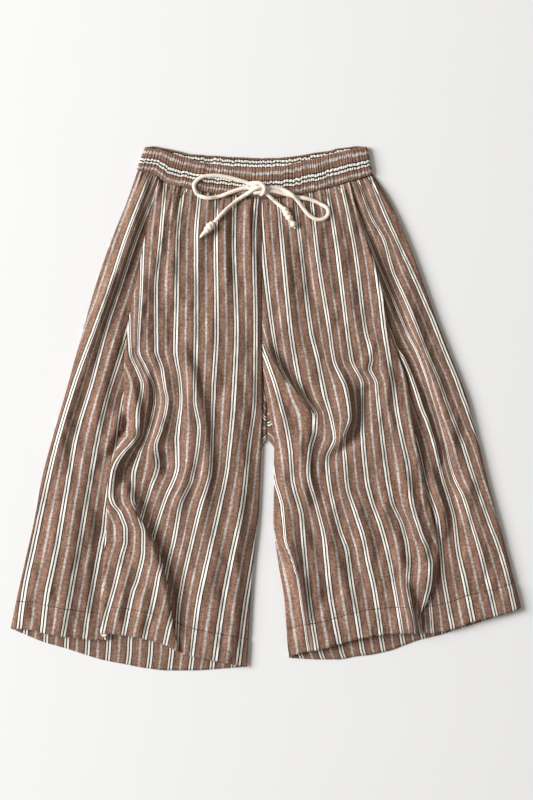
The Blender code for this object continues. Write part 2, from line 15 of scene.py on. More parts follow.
import bpy
import numpy as np
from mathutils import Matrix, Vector
from mathutils.bvhtree import BVHTree


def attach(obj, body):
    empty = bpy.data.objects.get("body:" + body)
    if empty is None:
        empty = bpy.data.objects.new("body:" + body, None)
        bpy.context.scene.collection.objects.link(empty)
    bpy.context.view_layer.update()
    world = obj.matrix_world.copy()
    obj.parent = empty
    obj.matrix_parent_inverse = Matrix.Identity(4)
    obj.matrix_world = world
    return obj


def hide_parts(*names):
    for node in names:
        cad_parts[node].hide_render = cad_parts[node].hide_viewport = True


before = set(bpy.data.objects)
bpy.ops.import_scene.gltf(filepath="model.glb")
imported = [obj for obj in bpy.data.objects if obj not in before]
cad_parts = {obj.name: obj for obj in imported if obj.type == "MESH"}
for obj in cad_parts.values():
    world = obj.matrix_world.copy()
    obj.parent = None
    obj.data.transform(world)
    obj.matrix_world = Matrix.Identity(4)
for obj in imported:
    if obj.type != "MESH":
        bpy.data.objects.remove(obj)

log = logging.getLogger("shorts")

MM = 0.001
REPEAT = 30.0  # cloth from one double white stripe to the next
CLOTH = 0.7  # drawn thickness of one layer of linen
HEM_DEPTH = 37.0
PANEL_LENGTH = 622.0  # from the waist seam to the hem at the middle of a leg
NOSE = 0.2113  # where along an overlap's S curve the cloth turns back
LINES_APART = 1.4  # no two lines of a chart are drawn closer than this
CORD_DIAMETER = 5.4

# ------------------------------------------------------------------ tables of the shorts' form

WAIST_SEAM = (
    (-174, 324), (-156, 321), (-145, 314), (-135, 306), (-114, 302), (-79, 294), (-35, 289),
    (-4, 286), (35, 289), (72, 297), (95, 303), (116, 309), (143, 318),
)
BAND_TOP_FRONT = (
    (-163, 355), (-137, 350), (-112, 341), (-82, 333), (-35, 328), (-5, 327), (12, 328),
    (58, 337), (106, 350), (136, 355),
)
BAND_TOP_BACK = (
    (-163, 355), (-152, 356), (-128, 351), (-98, 345), (-35, 341), (0, 340), (35, 342),
    (83, 350), (125, 356), (136, 355),
)
BAND_FOOT_BACK = (
    (-174, 324), (-150, 317), (-98, 306), (-35, 301), (0, 300), (35, 302), (83, 310),
    (125, 316), (143, 318),
)


@dataclass(frozen=True)
class Grain:
    """Where one double white stripe runs down a leg.

    `count` is its place in stripe repeats from the inseam.
    """

    count: float
    line: tuple[tuple[float, float], ...]


@dataclass(frozen=True)
class Crease:
    """A soft ridge (rise over 0) or trough (under 0) in the cloth, along a line.

    `before` and `beyond` are its widths on its -X and its +X side.
    """

    rise: float
    before: float
    beyond: float
    line: tuple[tuple[float, float], ...]


@dataclass(frozen=True)
class Overlap:
    """A fold of a front panel over itself, from the waist to the hem.

    `inner_on_top` says which side lies on top. `rows` has, at each height y, the x of the edge
    that shows, the width of the hidden fold and how far the edge stands over the cloth beyond it.
    """

    inner_on_top: bool
    rows: tuple[tuple[float, float, float, float], ...]


@dataclass(frozen=True)
class Wedge:
    """A stretch by the inner edge whose stripes don't meet those beyond its line.

    `line` has its outward limit: x and y. A whole number of repeats is drawn in under that line.
    """

    line: tuple[tuple[float, float], ...]
    chart: tuple[Grain, ...]


@dataclass(frozen=True)
class Leg:
    """The form of one leg: its edges, its overlaps, its creases and its stripes."""

    name: str
    way: int
    edges: tuple[tuple[float, float, float], ...]
    hem_inner_part: tuple[tuple[float, float], ...]
    hem_side_part: tuple[tuple[float, float], ...]
    hem_back: tuple[tuple[float, float], ...]
    back_inner: tuple[tuple[float, float], ...]
    overlaps: tuple[Overlap, ...]
    charts: tuple[tuple[Grain, ...], ...]
    wedge: Wedge | None
    back_grain: Grain
    creases: tuple[Crease, ...]
    side_crown: float
    side_crown_at: float
    columns: tuple[int, ...]


LEFT_LEG = Leg(
    name="left",
    way=-1,
    edges=(  # y, x of the side seam, x of the inner edge
        (322, -175, -5.6), (284, -188, -5.6), (229, -210, -5.6), (175, -229, -5.6),
        (120, -245, -5.6), (66, -260, -5.6), (12, -275, -5.6), (-43, -291, -6),
        (-97, -305, -8), (-152, -315, -11), (-206, -327, -17), (-260, -339, -21),
        (-315, -350, -24),
    ),
    hem_inner_part=(
        (-224, -304), (-190, -308), (-169, -312), (-151, -316), (-136, -321), (-122, -329),
        (-102, -336), (-71, -342), (-38, -349), (-28, -351),
    ),
    hem_side_part=(
        (-347, -299), (-320, -300), (-305, -304), (-275, -309), (-246, -313), (-218, -315),
        (-200, -315),
    ),
    hem_back=(
        (-347, -299), (-332, -305), (-298, -318), (-269, -326), (-220, -341), (-190, -347),
        (-158, -353), (-129, -356), (-97, -356), (-67, -354), (-28, -351),
    ),
    back_inner=(
        (1.2, 301), (1.2, -40), (-2.5, -47), (-6, -60), (-8, -97), (-11, -152), (-17, -206),
        (-21, -260), (-24, -315), (-28, -351),
    ),
    overlaps=(
        Overlap(
            inner_on_top=False,
            rows=(
                (322, -128, -8, 0), (229, -146, -8, 0), (107, -160, -8, 0), (12, -152, -8, 0),
                (-60, -163, -8, 0), (-105, -176, -6, 0.5), (-138, -177, 4, 2.4),
                (-161, -162, 15, 4), (-180, -151, 20, 5.5), (-206, -142, 24, 6.5),
                (-243, -133, 25, 6.5), (-290, -126, 24, 6), (-330, -118, 22, 5.5),
            ),
        ),
        Overlap(
            inner_on_top=True,
            rows=(
                (322, -143, 62, 1.6), (284, -152, 56, 3.0), (229, -165, 40, 4.4),
                (175, -175, 30, 4.6), (120, -186, 22, 4.4), (66, -192, 15, 4.0),
                (12, -193, 9, 3.4), (-43, -201, 8, 3.6), (-97, -214, 8, 3.4),
                (-152, -216, 8, 3.2), (-206, -220, 7, 3.2), (-260, -224, 7, 3.0),
                (-315, -224, 8, 3.4),
            ),
        ),
    ),
    charts=(
        (
            Grain(0, ((12, 289), (8, 229), (9, 107), (5, 0), (-5, -124), (-22, -231), (-28, -267), (-37, -339))),
            Grain(1, (
                (-13, 286), (-16, 229), (-14, 107), (-15, 13), (-23, -50), (-31, -127), (-46, -199),
                (-59, -267), (-69, -337),
            )),
            Grain(2, (
                (-43, 289), (-44, 229), (-40, 107), (-44, 13), (-53, -81), (-63, -130), (-80, -206),
                (-93, -267), (-101, -330),
            )),
            Grain(3, (
                (-67, 292), (-68, 229), (-67, 107), (-71, 29), (-73, -18), (-75, -81), (-90, -137),
                (-103, -190), (-115, -245), (-120, -284), (-121, -326),
            )),
            Grain(4, (
                (-90, 297), (-95, 229), (-95, 107), (-97, 13), (-90, -28), (-101, -96), (-116, -130),
                (-124, -175), (-134, -218), (-141, -260), (-146, -310),
            )),
            Grain(5, (
                (-112, 303), (-120, 229), (-121, 161), (-123, 80), (-117, 39), (-115, 12), (-121, -40),
                (-120, -77), (-137, -124), (-146, -150), (-154, -177), (-162, -220), (-168, -300),
            )),
            Grain(6, (
                (-137, 308), (-143, 229), (-150, 161), (-149, 80), (-141, 54), (-137, 27), (-134, 12),
                (-143, -30), (-150, -51), (-147, -77), (-156, -105), (-166, -137), (-176, -177),
                (-185, -220), (-192, -300),
            )),
            Grain(7, (
                (-158, 300), (-167, 228), (-169, 161), (-174, 80), (-163, 54), (-157, 41), (-152, 27),
                (-151, 12), (-153, -3), (-162, -37), (-173, -65), (-180, -92), (-180, -108),
                (-190, -150), (-200, -200), (-215, -300),
            )),
            Grain(8, (
                (-180, 300), (-190, 228), (-186, 134), (-183, 75), (-172, 48), (-167, 32), (-170, 12),
                (-173, -9), (-173, -34), (-181, -47), (-194, -61), (-203, -75), (-207, -88),
                (-212, -129), (-225, -200), (-240, -300),
            )),
        ),
        (
            Grain(6, (
                (-137, 308), (-143, 229), (-150, 161), (-149, 80), (-141, 54), (-137, 27), (-134, 12),
                (-143, -30), (-150, -51), (-147, -77), (-156, -105), (-150, -137), (-142, -177),
                (-142, -207), (-146, -225), (-151, -252), (-156, -275), (-162, -297), (-165, -311),
            )),
            Grain(7, (
                (-158, 300), (-167, 228), (-169, 161), (-174, 80), (-163, 54), (-157, 41), (-152, 27),
                (-151, 12), (-153, -3), (-162, -37), (-173, -65), (-180, -92), (-180, -108),
                (-177, -124), (-171, -150), (-166, -168), (-166, -190), (-174, -229), (-182, -252),
                (-193, -306),
            )),
            Grain(8, (
                (-180, 300), (-190, 228), (-186, 134), (-183, 75), (-172, 48), (-167, 32), (-170, 12),
                (-173, -9), (-173, -34), (-181, -47), (-194, -61), (-203, -75), (-207, -88),
                (-208, -101), (-204, -129), (-196, -145), (-190, -165), (-190, -179), (-195, -198),
                (-206, -243), (-218, -286), (-222, -305),
            )),
        ),
        (
            Grain(9, (
                (-110, 300), (-130, 229), (-155, 134), (-176, 62), (-194, 12), (-203, -50), (-218, -138),
                (-221, -165), (-226, -191), (-236, -245), (-244, -293), (-246, -312),
            )),
            Grain(10, (
                (-125, 300), (-153, 229), (-178, 140), (-196, 78), (-215, 16), (-229, -43), (-242, -118),
                (-254, -190), (-265, -252), (-273, -296),
            )),
            Grain(11, (
                (-142, 312), (-158, 277), (-177, 229), (-200, 161), (-218, 107), (-237, 35), (-259, -40),
                (-271, -112), (-284, -190), (-298, -259), (-302, -296),
            )),
            Grain(12, (
                (-157, 315), (-190, 229), (-212, 161), (-232, 107), (-259, 35), (-287, -59), (-301, -118),
                (-315, -183), (-328, -245), (-335, -296),
            )),
        ),
    ),
    wedge=None,
    back_grain=Grain(5, ((-118, 300), (-160, -200), (-184, -305), (-186, -333), (-188, -350))),
    creases=(
        # The roll along the side seam, and the valley inside it.
        Crease(6, 7, 10, (
            (-158, 305), (-170, 271), (-184, 231), (-197, 197), (-214, 163), (-227, 129), (-237, 95),
            (-248, 61), (-261, 27), (-271, -7), (-279, -41), (-286, -82), (-291, -120),
        )),
        Crease(-4.5, 8, 14, (
            (-144, 297), (-155, 267), (-167, 228), (-181, 194), (-197, 160), (-211, 126), (-220, 92),
            (-231, 58), (-245, 24), (-254, -10), (-262, -44), (-269, -85), (-275, -120),
        )),
        # The side part down to its hem.
        Crease(3.8, 11, 10, ((-258, -111), (-261, -165), (-267, -226), (-273, -294))),
        Crease(3, 10, 9, ((-283, -145), (-291, -213), (-301, -294))),
        Crease(2.6, 9, 8, ((-310, -186), (-321, -247), (-329, -301))),
        Crease(3.2, 8, 7, ((-238, -118), (-239, -172), (-242, -233), (-245, -294))),
        Crease(-4.5, 9, 5, ((-220, -141), (-223, -186), (-227, -231), (-223, -271))),
        Crease(2.6, 9, 8, ((-201, 107), (-215, 59), (-227, 12), (-234, -43))),
        # Under the waistband and down the middle.
        Crease(2.6, 6, 8, ((-152, 277), (-156, 236), (-160, 199), (-166, 161), (-170, 123))),
        Crease(2.2, 7, 4, ((-141, 267), (-140, 236), (-141, 205))),
        Crease(-5.2, 12, 14, ((-126, 148), (-126, 114), (-129, 80))),
        Crease(-3.4, 8, 8, ((-147, 131), (-151, 90))),
        Crease(2.8, 9, 6, ((-122, 286), (-125, 236), (-126, 188), (-124, 148))),
        Crease(2.2, 8, 6, ((-90, 277), (-91, 229), (-91, 175))),
        Crease(3.6, 9, 5, ((-58, 279), (-56, 236), (-54, 195), (-54, 150))),
        Crease(3.2, 8, 4, ((-26, 279), (-23, 236), (-20, 195))),
        Crease(2, 8, 4, ((-14, 229), (-12, 182), (-10, 120), (-8, 66))),
        Crease(2.4, 14, 12, ((-76, 148), (-73, 80), (-71, 12))),
        Crease(2.6, 12, 10, ((-35, 148), (-35, 66), (-41, -29), (-52, -124))),
        # The hook beside the pleat.
        Crease(7.6, 9, 7, (
            (-186, 52), (-181, 28), (-175, 5), (-173, -22), (-180, -47), (-196, -66), (-207, -84),
            (-211, -111), (-207, -141),
        )),
        Crease(-7, 5, 5, ((-188, -5), (-193, -29), (-204, -51), (-214, -66))),
        Crease(4.2, 8, 5, ((-197, 1), (-203, -27), (-212, -48), (-222, -67))),
        Crease(-5.5, 6, 8, ((-170, -54), (-184, -70), (-194, -88), (-193, -108))),
        Crease(-5.6, 6, 9, ((-154, 52), (-150, 22), (-154, -5), (-163, -39), (-175, -63))),
        Crease(2.8, 8, 6, ((-163, 55), (-159, 25), (-162, -2), (-169, -27))),
        Crease(5.6, 10, 9, ((-143, 63), (-135, 32), (-135, 1), (-144, -32), (-156, -62))),
        Crease(7, 12, 12, ((-112, 32), (-103, -9), (-101, -50), (-106, -81), (-116, -114), (-129, -152))),
        Crease(-5.4, 8, 8, ((-136, -56), (-133, -95))),
        # The long crease across the thigh.
        Crease(7.4, 12, 7, (
            (-116, 100), (-107, 69), (-99, 44), (-90, 12), (-82, -22), (-79, -56), (-78, -90),
            (-82, -124), (-92, -179),
        )),
        # Along the second fold, and on it.
        Crease(6.4, 20, 9, (
            (-205, -78), (-197, -95), (-188, -111), (-174, -141), (-162, -172), (-150, -201),
            (-140, -228), (-135, -266), (-128, -315),
        )),
        Crease(-6, 9, 20, (
            (-175, -95), (-169, -116), (-156, -143), (-144, -176), (-132, -203), (-122, -231),
            (-116, -269), (-106, -322),
        )),
        Crease(3.6, 8, 8, ((-188, -206), (-196, -254), (-204, -301))),
        Crease(3.6, 9, 8, ((-163, -233), (-167, -267), (-174, -308))),
        # Towards the inseam hem.
        Crease(3.8, 14, 10, ((-60, -84), (-69, -179), (-76, -260), (-80, -328))),
        Crease(2.8, 10, 8, ((-35, -84), (-38, -179), (-42, -260), (-45, -328))),
    ),
    side_crown=6.6,
    side_crown_at=0.55,
    columns=(64, 26, 26, 40, 52),
)
RIGHT_LEG = Leg(
    name="right",
    way=1,
    edges=(
        (322, 143, -5.3), (284, 167, -5.3), (229, 192, -5.3), (175, 212, -5.3), (120, 232, -5.3),
        (66, 253, -4.4), (12, 274, 0.4), (-43, 288, 11), (-97, 301, 11), (-152, 316, 10),
        (-206, 330, 16), (-260, 344, 25), (-315, 357, 29),
    ),
    hem_inner_part=(
        (31, -338), (50, -331), (73, -327), (98, -320), (118, -314), (141, -309), (155, -307),
        (181, -305), (199, -305), (222, -305),
    ),
    hem_side_part=(
        (181, -305), (199, -305), (222, -305), (240, -302), (256, -298), (280, -289), (298, -285),
        (315, -281), (336, -275), (347, -270),
    ),
    hem_back=(
        (31, -339), (73, -341), (95, -341), (118, -337), (135, -335), (163, -329), (182, -322),
        (205, -314), (235, -307), (252, -301), (280, -293), (347, -271),
    ),
    back_inner=(
        (1.5, 301), (1.8, -40), (6.5, -47), (12, -56), (13, -97), (12, -152), (16.5, -206),
        (25, -260), (29, -315), (31, -339),
    ),
    overlaps=(
        Overlap(
            inner_on_top=True,
            rows=(
                (322, 110, 61, 2.0), (284, 119, 57, 4.0), (252, 129, 54, 5.0), (234, 134.5, 52, 5.2),
                (215, 141, 50, 5.0), (199, 147, 44, 4.6), (175, 153.5, 36, 5.6), (147, 159, 30, 6.0),
                (120, 164, 25, 5.6), (107, 166.5, 22, 4.6), (94, 170.5, 20, 3.6), (80, 176, 18, 2.8),
                (66, 181, 16, 2.5), (39, 190.5, 13, 2.4), (12, 195, 11, 3.4), (-43, 203, 9, 4.4),
                (-97, 214, 9, 3.6), (-152, 227, 9, 2.8), (-180, 233, 9, 3.2), (-206, 234, 10, 4.6),
                (-236, 230, 10, 5.0), (-260, 220, 11, 5.0), (-285, 207, 12, 4.8), (-315, 204, 12, 4.4),
            ),
        ),
    ),
    charts=(
        (
            Grain(0, (
                (-34, 289), (-32, 200), (-18, 120), (-3, 78), (26, 20), (33, -43), (37, -93), (49, -143),
                (52, -206), (58, -252), (72, -322),
            )),
            Grain(1, (
                (-8, 289), (-3, 213), (9, 107), (18, 60), (33, 32), (46, 10), (50, -15), (47, -55),
                (46, -86), (58, -130), (66, -190), (72, -252), (86, -324),
            )),
            Grain(2, (
                (16, 289), (23, 213), (33, 107), (43, 44), (52, 16), (68, -9), (67, -28), (60, -55),
                (57, -86), (68, -130), (79, -175), (82, -206), (87, -252), (101, -327),
            )),
            Grain(3, (
                (39, 292), (48, 213), (61, 107), (71, 66), (79, 22), (92, -28), (94, -40), (83, -69),
                (85, -96), (91, -130), (101, -168), (110, -192), (116, -236), (124, -284), (131, -330),
            )),
            Grain(4, (
                (60, 296), (69, 213), (86, 107), (92, 66), (109, 25), (114, -12), (105, -40), (107, -69),
                (110, -105), (122, -143), (132, -175), (138, -206), (147, -245), (155, -299),
            )),
            Grain(5, (
                (83, 301), (97, 213), (110, 107), (116, 66), (131, 32), (131, -24), (136, -93), (143, -124),
                (155, -158), (166, -199), (175, -245), (185, -304),
            )),
            Grain(6, (
                (103, 304), (121, 213), (134.5, 107), (141.5, 80), (143, 66), (140.2, 55), (144.2, 45.5),
                (149.5, 34.5), (151, 18), (154, -9), (158, -43), (163, -81), (171, -127), (185, -158),
                (192, -190), (193, -209), (191, -238), (195, -262), (200, -285), (203, -304),
            )),
            Grain(7, (
                (122, 304), (141, 229), (148, 197), (155, 149), (160, 107), (167, 63), (172, 34), (178, -9),
                (185, -43), (193, -81), (197, -124), (209, -168), (219, -192), (223, -211), (222, -232),
                (216, -260), (210, -281), (207, -304),
            )),
        ),
        (
            Grain(7, ((40, 304), (90, 200), (120, 100), (145, 0), (165, -100), (190, -200), (206, -250), (209, -281), (211, -304))),
            Grain(8, ((60, 304), (110, 200), (145, 100), (168, 0), (190, -100), (214, -200), (221, -250), (223, -271), (225, -304))),
            Grain(9, (
                (80, 304), (130, 200), (165, 100), (188, 0), (205, -50), (218, -104), (233, -150),
                (238, -192), (241, -229), (245, -254), (253, -296),
            )),
            Grain(10, (
                (96, 304), (135, 200), (152, 140), (166.5, 109), (176, 82), (187, 66), (198.5, 39),
                (212, -2), (219, -18), (226, -39), (231, -58), (236, -78), (241, -97), (250, -127),
                (256, -150), (260, -190), (270, -235), (280, -286),
            )),
            Grain(10.72, (
                (106, 304), (147, 199), (160.8, 167), (177.8, 126), (188.8, 100), (199.6, 80), (211.2, 52),
                (221, 25), (233, -13), (238, -33), (241.5, -50), (246, -76), (252.5, -97), (262, -120),
                (272, -152), (283, -192), (294, -240), (303, -279),
            )),
            Grain(11, (
                (110, 304), (151, 199), (165, 167), (182, 126), (193, 100), (203.5, 80), (214.5, 52),
                (223, 25), (234.5, -13), (240, -33), (244.5, -50), (250, -76), (257, -97), (268, -120),
                (278, -152), (290, -192), (303, -243), (311, -277),
            )),
            Grain(11.28, (
                (114, 304), (155.2, 199), (169.2, 167), (186.2, 126), (197.2, 100), (207.4, 80), (217.6, 52),
                (225, 25), (236, -13), (242.5, -33), (248, -50), (254.5, -76), (262, -97), (274, -120),
                (284, -152), (297, -192), (310, -238), (318, -275),
            )),
            Grain(12, (
                (125, 309), (143, 260), (160.5, 229), (171.5, 188), (189, 147.5), (203, 113.5), (216, 79.5),
                (234, 38), (240, 22), (246, 5), (250, -5), (255, -18), (261, -33), (267, -47), (272.5, -64),
                (283, -97), (302, -152), (317, -192), (328, -231), (337, -271),
            )),
            Grain(13, (
                (143, 308), (165, 256), (182, 218), (199, 182), (216, 143), (226, 120), (239, 86), (251, 57),
                (258.5, 39), (264.5, 21), (270.5, 6), (275, -7), (280, -21), (292, -50), (313, -112),
                (331, -158), (346, -192), (355, -231), (362, -271),
            )),
        ),
    ),
    wedge=Wedge(
        line=(
            (-22, 130), (-6.3, 96), (5.4, 70), (21.5, 43), (35.5, 27.5), (48, 14), (60, -2), (70, -12),
            (74, -28), (67, -55), (64, -86), (75, -130), (86, -175), (89, -206), (94, -252), (108, -327),
        ),
        chart=(
            Grain(-0.5, (
                (-72, 289), (-50, 120), (-36, 80), (-22, 32), (-12, -22), (-4, -97), (4, -131), (10, -165),
                (15, -186), (23, -213), (31.3, -254), (38, -301), (42, -328),
            )),
            Grain(-0.14, (
                (-56, 289), (-38, 120), (-25, 80), (-12, 32), (-2, -22), (9.6, -97), (19.2, -131),
                (22.3, -158), (24.7, -180), (31.4, -196), (38.9, -220), (42.4, -233), (46.4, -260),
                (53.8, -315), (55.6, -327),
            )),
            Grain(0.14, (
                (-48, 289), (-30, 120), (-18.5, 80), (-5.5, 32), (4.5, -22), (14.8, -97), (24.4, -131),
                (26.7, -158), (28.3, -180), (33.8, -196), (41.1, -220), (44.6, -233), (48.8, -260),
                (57.6, -315), (60, -327),
            )),
            Grain(0.5, (
                (-43, 289), (-25, 120), (-12, 80), (3, 32), (15, -29), (20.4, -56), (25.8, -104),
                (35.4, -145), (37.6, -170), (39.5, -186), (46.4, -220), (48.6, -233), (52.4, -260), (61.5, -322),
            )),
            Grain(0.86, (
                (-38, 289), (-36, 200), (-22, 120), (-8.2, 80), (0.2, 59), (9.2, 32), (16, 7), (23.6, -22),
                (29.4, -56), (32.2, -96), (44, -145), (46, -168), (49, -203), (54, -256), (64, -322),
            )),
            Grain(1, (
                (-34, 289), (-32, 200), (-18, 120), (-4.6, 80), (3.6, 59), (12.8, 32), (19.6, 7), (27.2, -22),
                (33, -56), (36, -96), (48, -145), (50, -168), (53, -203), (58, -256), (68, -322),
            )),
            Grain(1.14, (
                (-30, 289), (-28, 200), (-14, 120), (-1, 80), (7, 59), (16.4, 32), (23.2, 7), (30.8, -22),
                (36.6, -56), (39.8, -96), (52, -145), (54, -168), (57, -203), (62, -256), (72, -322),
            )),
            Grain(2, (
                (16, 289), (23, 213), (33, 107), (43, 44), (52, 16), (68, -9), (67, -28), (60, -55),
                (57, -86), (68, -130), (79, -175), (82, -206), (87, -252), (101, -327),
            )),
            Grain(3, (
                (39, 292), (48, 213), (61, 107), (71, 66), (79, 22), (92, -28), (94, -40), (83, -69),
                (85, -96), (91, -130), (101, -168), (110, -192), (116, -236), (124, -284), (131, -330),
            )),
        ),
    ),
    back_grain=Grain(5, ((96, 300), (120, -250), (131, -329), (135, -340))),
    creases=(
        # The valley outside the pleat, with a ridge to each side.
        Crease(5, 4, 12, (
            (126, 254), (135, 232), (141, 210), (148, 188), (155, 167), (162, 145), (167, 123),
            (174, 104), (181, 85),
        )),
        Crease(-8, 11, 4, (
            (140, 248), (151, 221), (160, 197), (169, 175), (177, 154), (184, 135), (190, 116),
            (199, 97),
        )),
        Crease(6.4, 6, 5, (
            (167, 115), (178, 86), (189, 67), (200, 43), (212, 9), (224, -29), (234, -65), (241, -95),
        )),
        Crease(-9, 6, 8, (
            (177, 112), (188, 85), (197, 66), (209, 39), (223, 1), (233, -29), (239, -54), (246, -78),
            (252, -103), (254, -122),
        )),
        Crease(-8, 7, 7, ((234, -73), (242, -96), (249, -118), (253, -139), (256, -163), (256, -187))),
        Crease(5.4, 9, 5, ((219, -67), (227, -95), (235, -119), (241, -141), (243, -163), (242, -182))),
        Crease(6, 10, 10, (
            (171, 209), (181, 182), (197, 134), (212, 86), (226, 41), (243, -5), (253, -50),
            (261, -97),
        )),
        # Down the side part.
        Crease(3.4, 12, 9, ((267, -77), (283, -152), (299, -233))),
        Crease(-7, 7, 8, ((238, -195), (248, -220), (252, -241), (256, -263), (258, -285))),
        Crease(-5, 6, 6, ((237, -209), (234, -233), (230, -255), (223, -277))),
        # The drag from the crotch.
        Crease(7.4, 14, 4, ((-8, 99), (5, 70), (22, 43), (35, 28), (48, 14), (60, -2), (68, -18))),
        Crease(-5, 4, 11, ((3, 99), (14, 73), (31, 47), (45, 31), (58, 16), (68, 1))),
        Crease(4.4, 8, 6, ((45, -24), (46, -59), (50, -97), (58, -135))),
        Crease(4, 7, 5, ((61, -16), (57, -52), (60, -92), (69, -127))),
        # The bulge and the arc round it.
        Crease(8.2, 17, 6, ((101, 58), (109, 28), (114, 1), (114, -17), (105, -36), (90, -54))),
        Crease(-7, 6, 11, (
            (143, 33), (136, 14), (129, -5), (125, -21), (116, -40), (101, -59), (82, -71),
        )),
        Crease(-4.4, 5, 5, ((122, 20), (136, 25), (150, 28))),
        Crease(3, 5, 6, ((114, 47), (131, 58), (143, 77), (150, 104))),
        Crease(3.6, 9, 7, ((159, 66), (166, 32), (163, -5))),
        # Beside the pleat's edge.
        Crease(3.6, 12, 6, (
            (136, 224), (146, 199), (152, 172), (158, 145), (162, 118), (165, 90), (170, 63),
        )),
        Crease(4.4, 10, 5, ((189, 14), (197, -13), (203, -40), (204, -67), (214, -103))),
        Crease(4.8, 10, 8, ((177, -29), (185, -70), (196, -118), (212, -172), (219, -220), (212, -258))),
        # The crease that leans over at the hem.
        Crease(6.4, 14, 5, ((185, -228), (192, -250), (197, -274), (201, -309))),
        Crease(-4.6, 5, 9, ((201, -255), (208, -277), (209, -304))),
        # A line across, where it was folded away.
        Crease(-0.9, 2.2, 2.2, ((136, -123), (162, -122), (189, -123), (216, -120), (237, -122))),
        Crease(-0.9, 2.2, 2.2, ((245, -101), (264, -95), (280, -89), (296, -86))),
        # Down to the hem.
        Crease(4.6, 22, 17, ((5, 12), (15, -56), (27, -138), (41, -213), (53, -288))),
        Crease(5, 13, 6, ((24, -163), (34, -195), (44, -228), (52, -263), (58, -309))),
        Crease(3.2, 10, 8, ((76, -118), (87, -179), (106, -247), (116, -304))),
        Crease(3.2, 10, 8, ((114, -104), (136, -172), (154, -247), (165, -299))),
        Crease(3.6, 10, 8, ((150, -118), (177, -182), (189, -226))),
        Crease(2.8, 9, 8, ((49, -152), (64, -206), (76, -274))),
        # Under the waistband and down the middle.
        Crease(3.2, 10, 7, ((20, 263), (27, 209), (34, 148), (42, 86))),
        Crease(2.6, 9, 7, ((68, 277), (75, 216), (86, 148), (98, 86))),
        Crease(2.8, 9, 7, ((101, 236), (110, 168), (121, 100))),
        Crease(-2.8, 9, 9, ((53, 216), (60, 175), (68, 134))),
        Crease(2.4, 8, 6, ((46, 277), (52, 236), (56, 209))),
        Crease(2.8, 8, 6, ((92, 290), (99, 250), (103, 229))),
        Crease(-2.6, 5, 7, ((-3, 236), (-3, 188), (-1, 141))),
    ),
    side_crown=4.6,
    side_crown_at=0.97,
    columns=(104, 44, 56),
)

# Where the waistband's stripes lie: depth below its top edge, less than nothing on its inner face,
# and count of stripe repeats.
BAND_STRIPES = (
    (-39, -1.8), (-22.3, -1.5), (-12.8, -1.157), (-7.3, -1.0), (-1.8, -0.843), (0, -0.76), (5.2, -0.565),
    (10.4, -0.435), (17.1, -0.157), (22.6, 0), (28.1, 0.157), (31.4, 0.435), (36, 0.565), (39, 0.76),
)

# The drawstring's routes in plan: x, y and how far the cord is lifted over what it crosses.
LOOP_LEFT = (
    (-22.6, 305.6, 0), (-34, 309, 0), (-50, 313.4, 0), (-72, 316, 0), (-89.5, 312.6, 0), (-97.5, 303.6, 0),
    (-94, 292, 0), (-82, 286, 0), (-63, 288, 0), (-46, 294, 0), (-34, 298, 0), (-22.6, 299.5, 0),
)
LOOP_RIGHT = (
    (0.6, 299.6, 0), (12, 299.6, 0), (22, 297.5, 0.6), (30, 293.4, 2.6), (37, 288, 5.2), (45, 279, 3.6), (53, 268, 0),
    (61, 260, 0), (71, 256, 0), (80, 258, 0), (84.5, 264, 0), (84, 270, 0), (75, 277, 0),
    (60, 283.5, 0), (46, 286.5, 0), (33, 288.8, 0), (24, 291.6, 0), (13, 294.4, 0), (1.0, 295.4, 0),
)
TAIL_LEFT = (
    (-22.8, 292.5, 0), (-30, 288.5, 0), (-39, 282.5, 0), (-49, 274, 0.5), (-58, 265, 1.5),
    (-71, 251, 3.2), (-77, 244.6, 3.2), (-83, 238.2, 2.6),
)
TAIL_RIGHT = (
    (-3.0, 292.6, 0), (1.5, 290.6, 0), (6, 286.8, 0), (11, 282.4, 0), (17, 277, 0.6), (22, 272.8, 1.2),
    (25.6, 269.6, 1.6), (29, 264.2, 1.6), (32.4, 258.4, 1.6), (35, 253, 1.4),
)

# The strands of the bow's knot: x, y and height over the waistband.
BOW_STRANDS = (
    # the left loop's two ends, which run on under the knot
    ((-27.5, 306.8, 2.6), (-20.4, 304.2, 3.4), (-12.9, 301.2, 4.0), (-5.4, 297.0, 3.4), (1.0, 295.6, 2.6)),
    ((-27.6, 299.9, 2.6), (-17.1, 298.2, 3.2), (-8.0, 298.6, 3.4), (1.5, 299.4, 2.6)),
    # the left tail, which climbs over them
    ((-27.2, 289.9, 2.6), (-22.2, 293.0, 4.6), (-17.1, 296.3, 6.6), (-10.9, 299.0, 7.6), (-5.4, 300.4, 6.6), (-1.6, 300.0, 4.4)),
    # the wrap over the top, down the right and under
    (
        (-22.6, 304.4, 2.8), (-19.4, 305.4, 4.6), (-15.4, 305.7, 6.4), (-11.2, 305.6, 7.8), (-6.8, 304.5, 8.8),
        (-3.4, 301.8, 9.4), (-1.7, 298.2, 9.2), (-2.2, 294.2, 7.8), (-5.0, 291.0, 5.4), (-8.6, 289.9, 2.6),
    ),
    # the right tail's end, which comes out from under the wrap
    ((-17.9, 294.0, 2.6), (-13.6, 292.6, 4.6), (-8.2, 292.6, 5.0), (-3.0, 292.6, 4.0), (1.5, 290.8, 2.6)),
)


@dataclass(frozen=True)
class EndKnot:
    """A knot in the cord's own end.

    `start` is where it begins, x and y. Its first `wrapped` mm show `wraps` turns of cord, and
    `profile` has its radius at distances along it.
    """

    node: str
    start: tuple[float, float]
    wraps: int
    wrapped: float
    profile: tuple[tuple[float, float], ...]


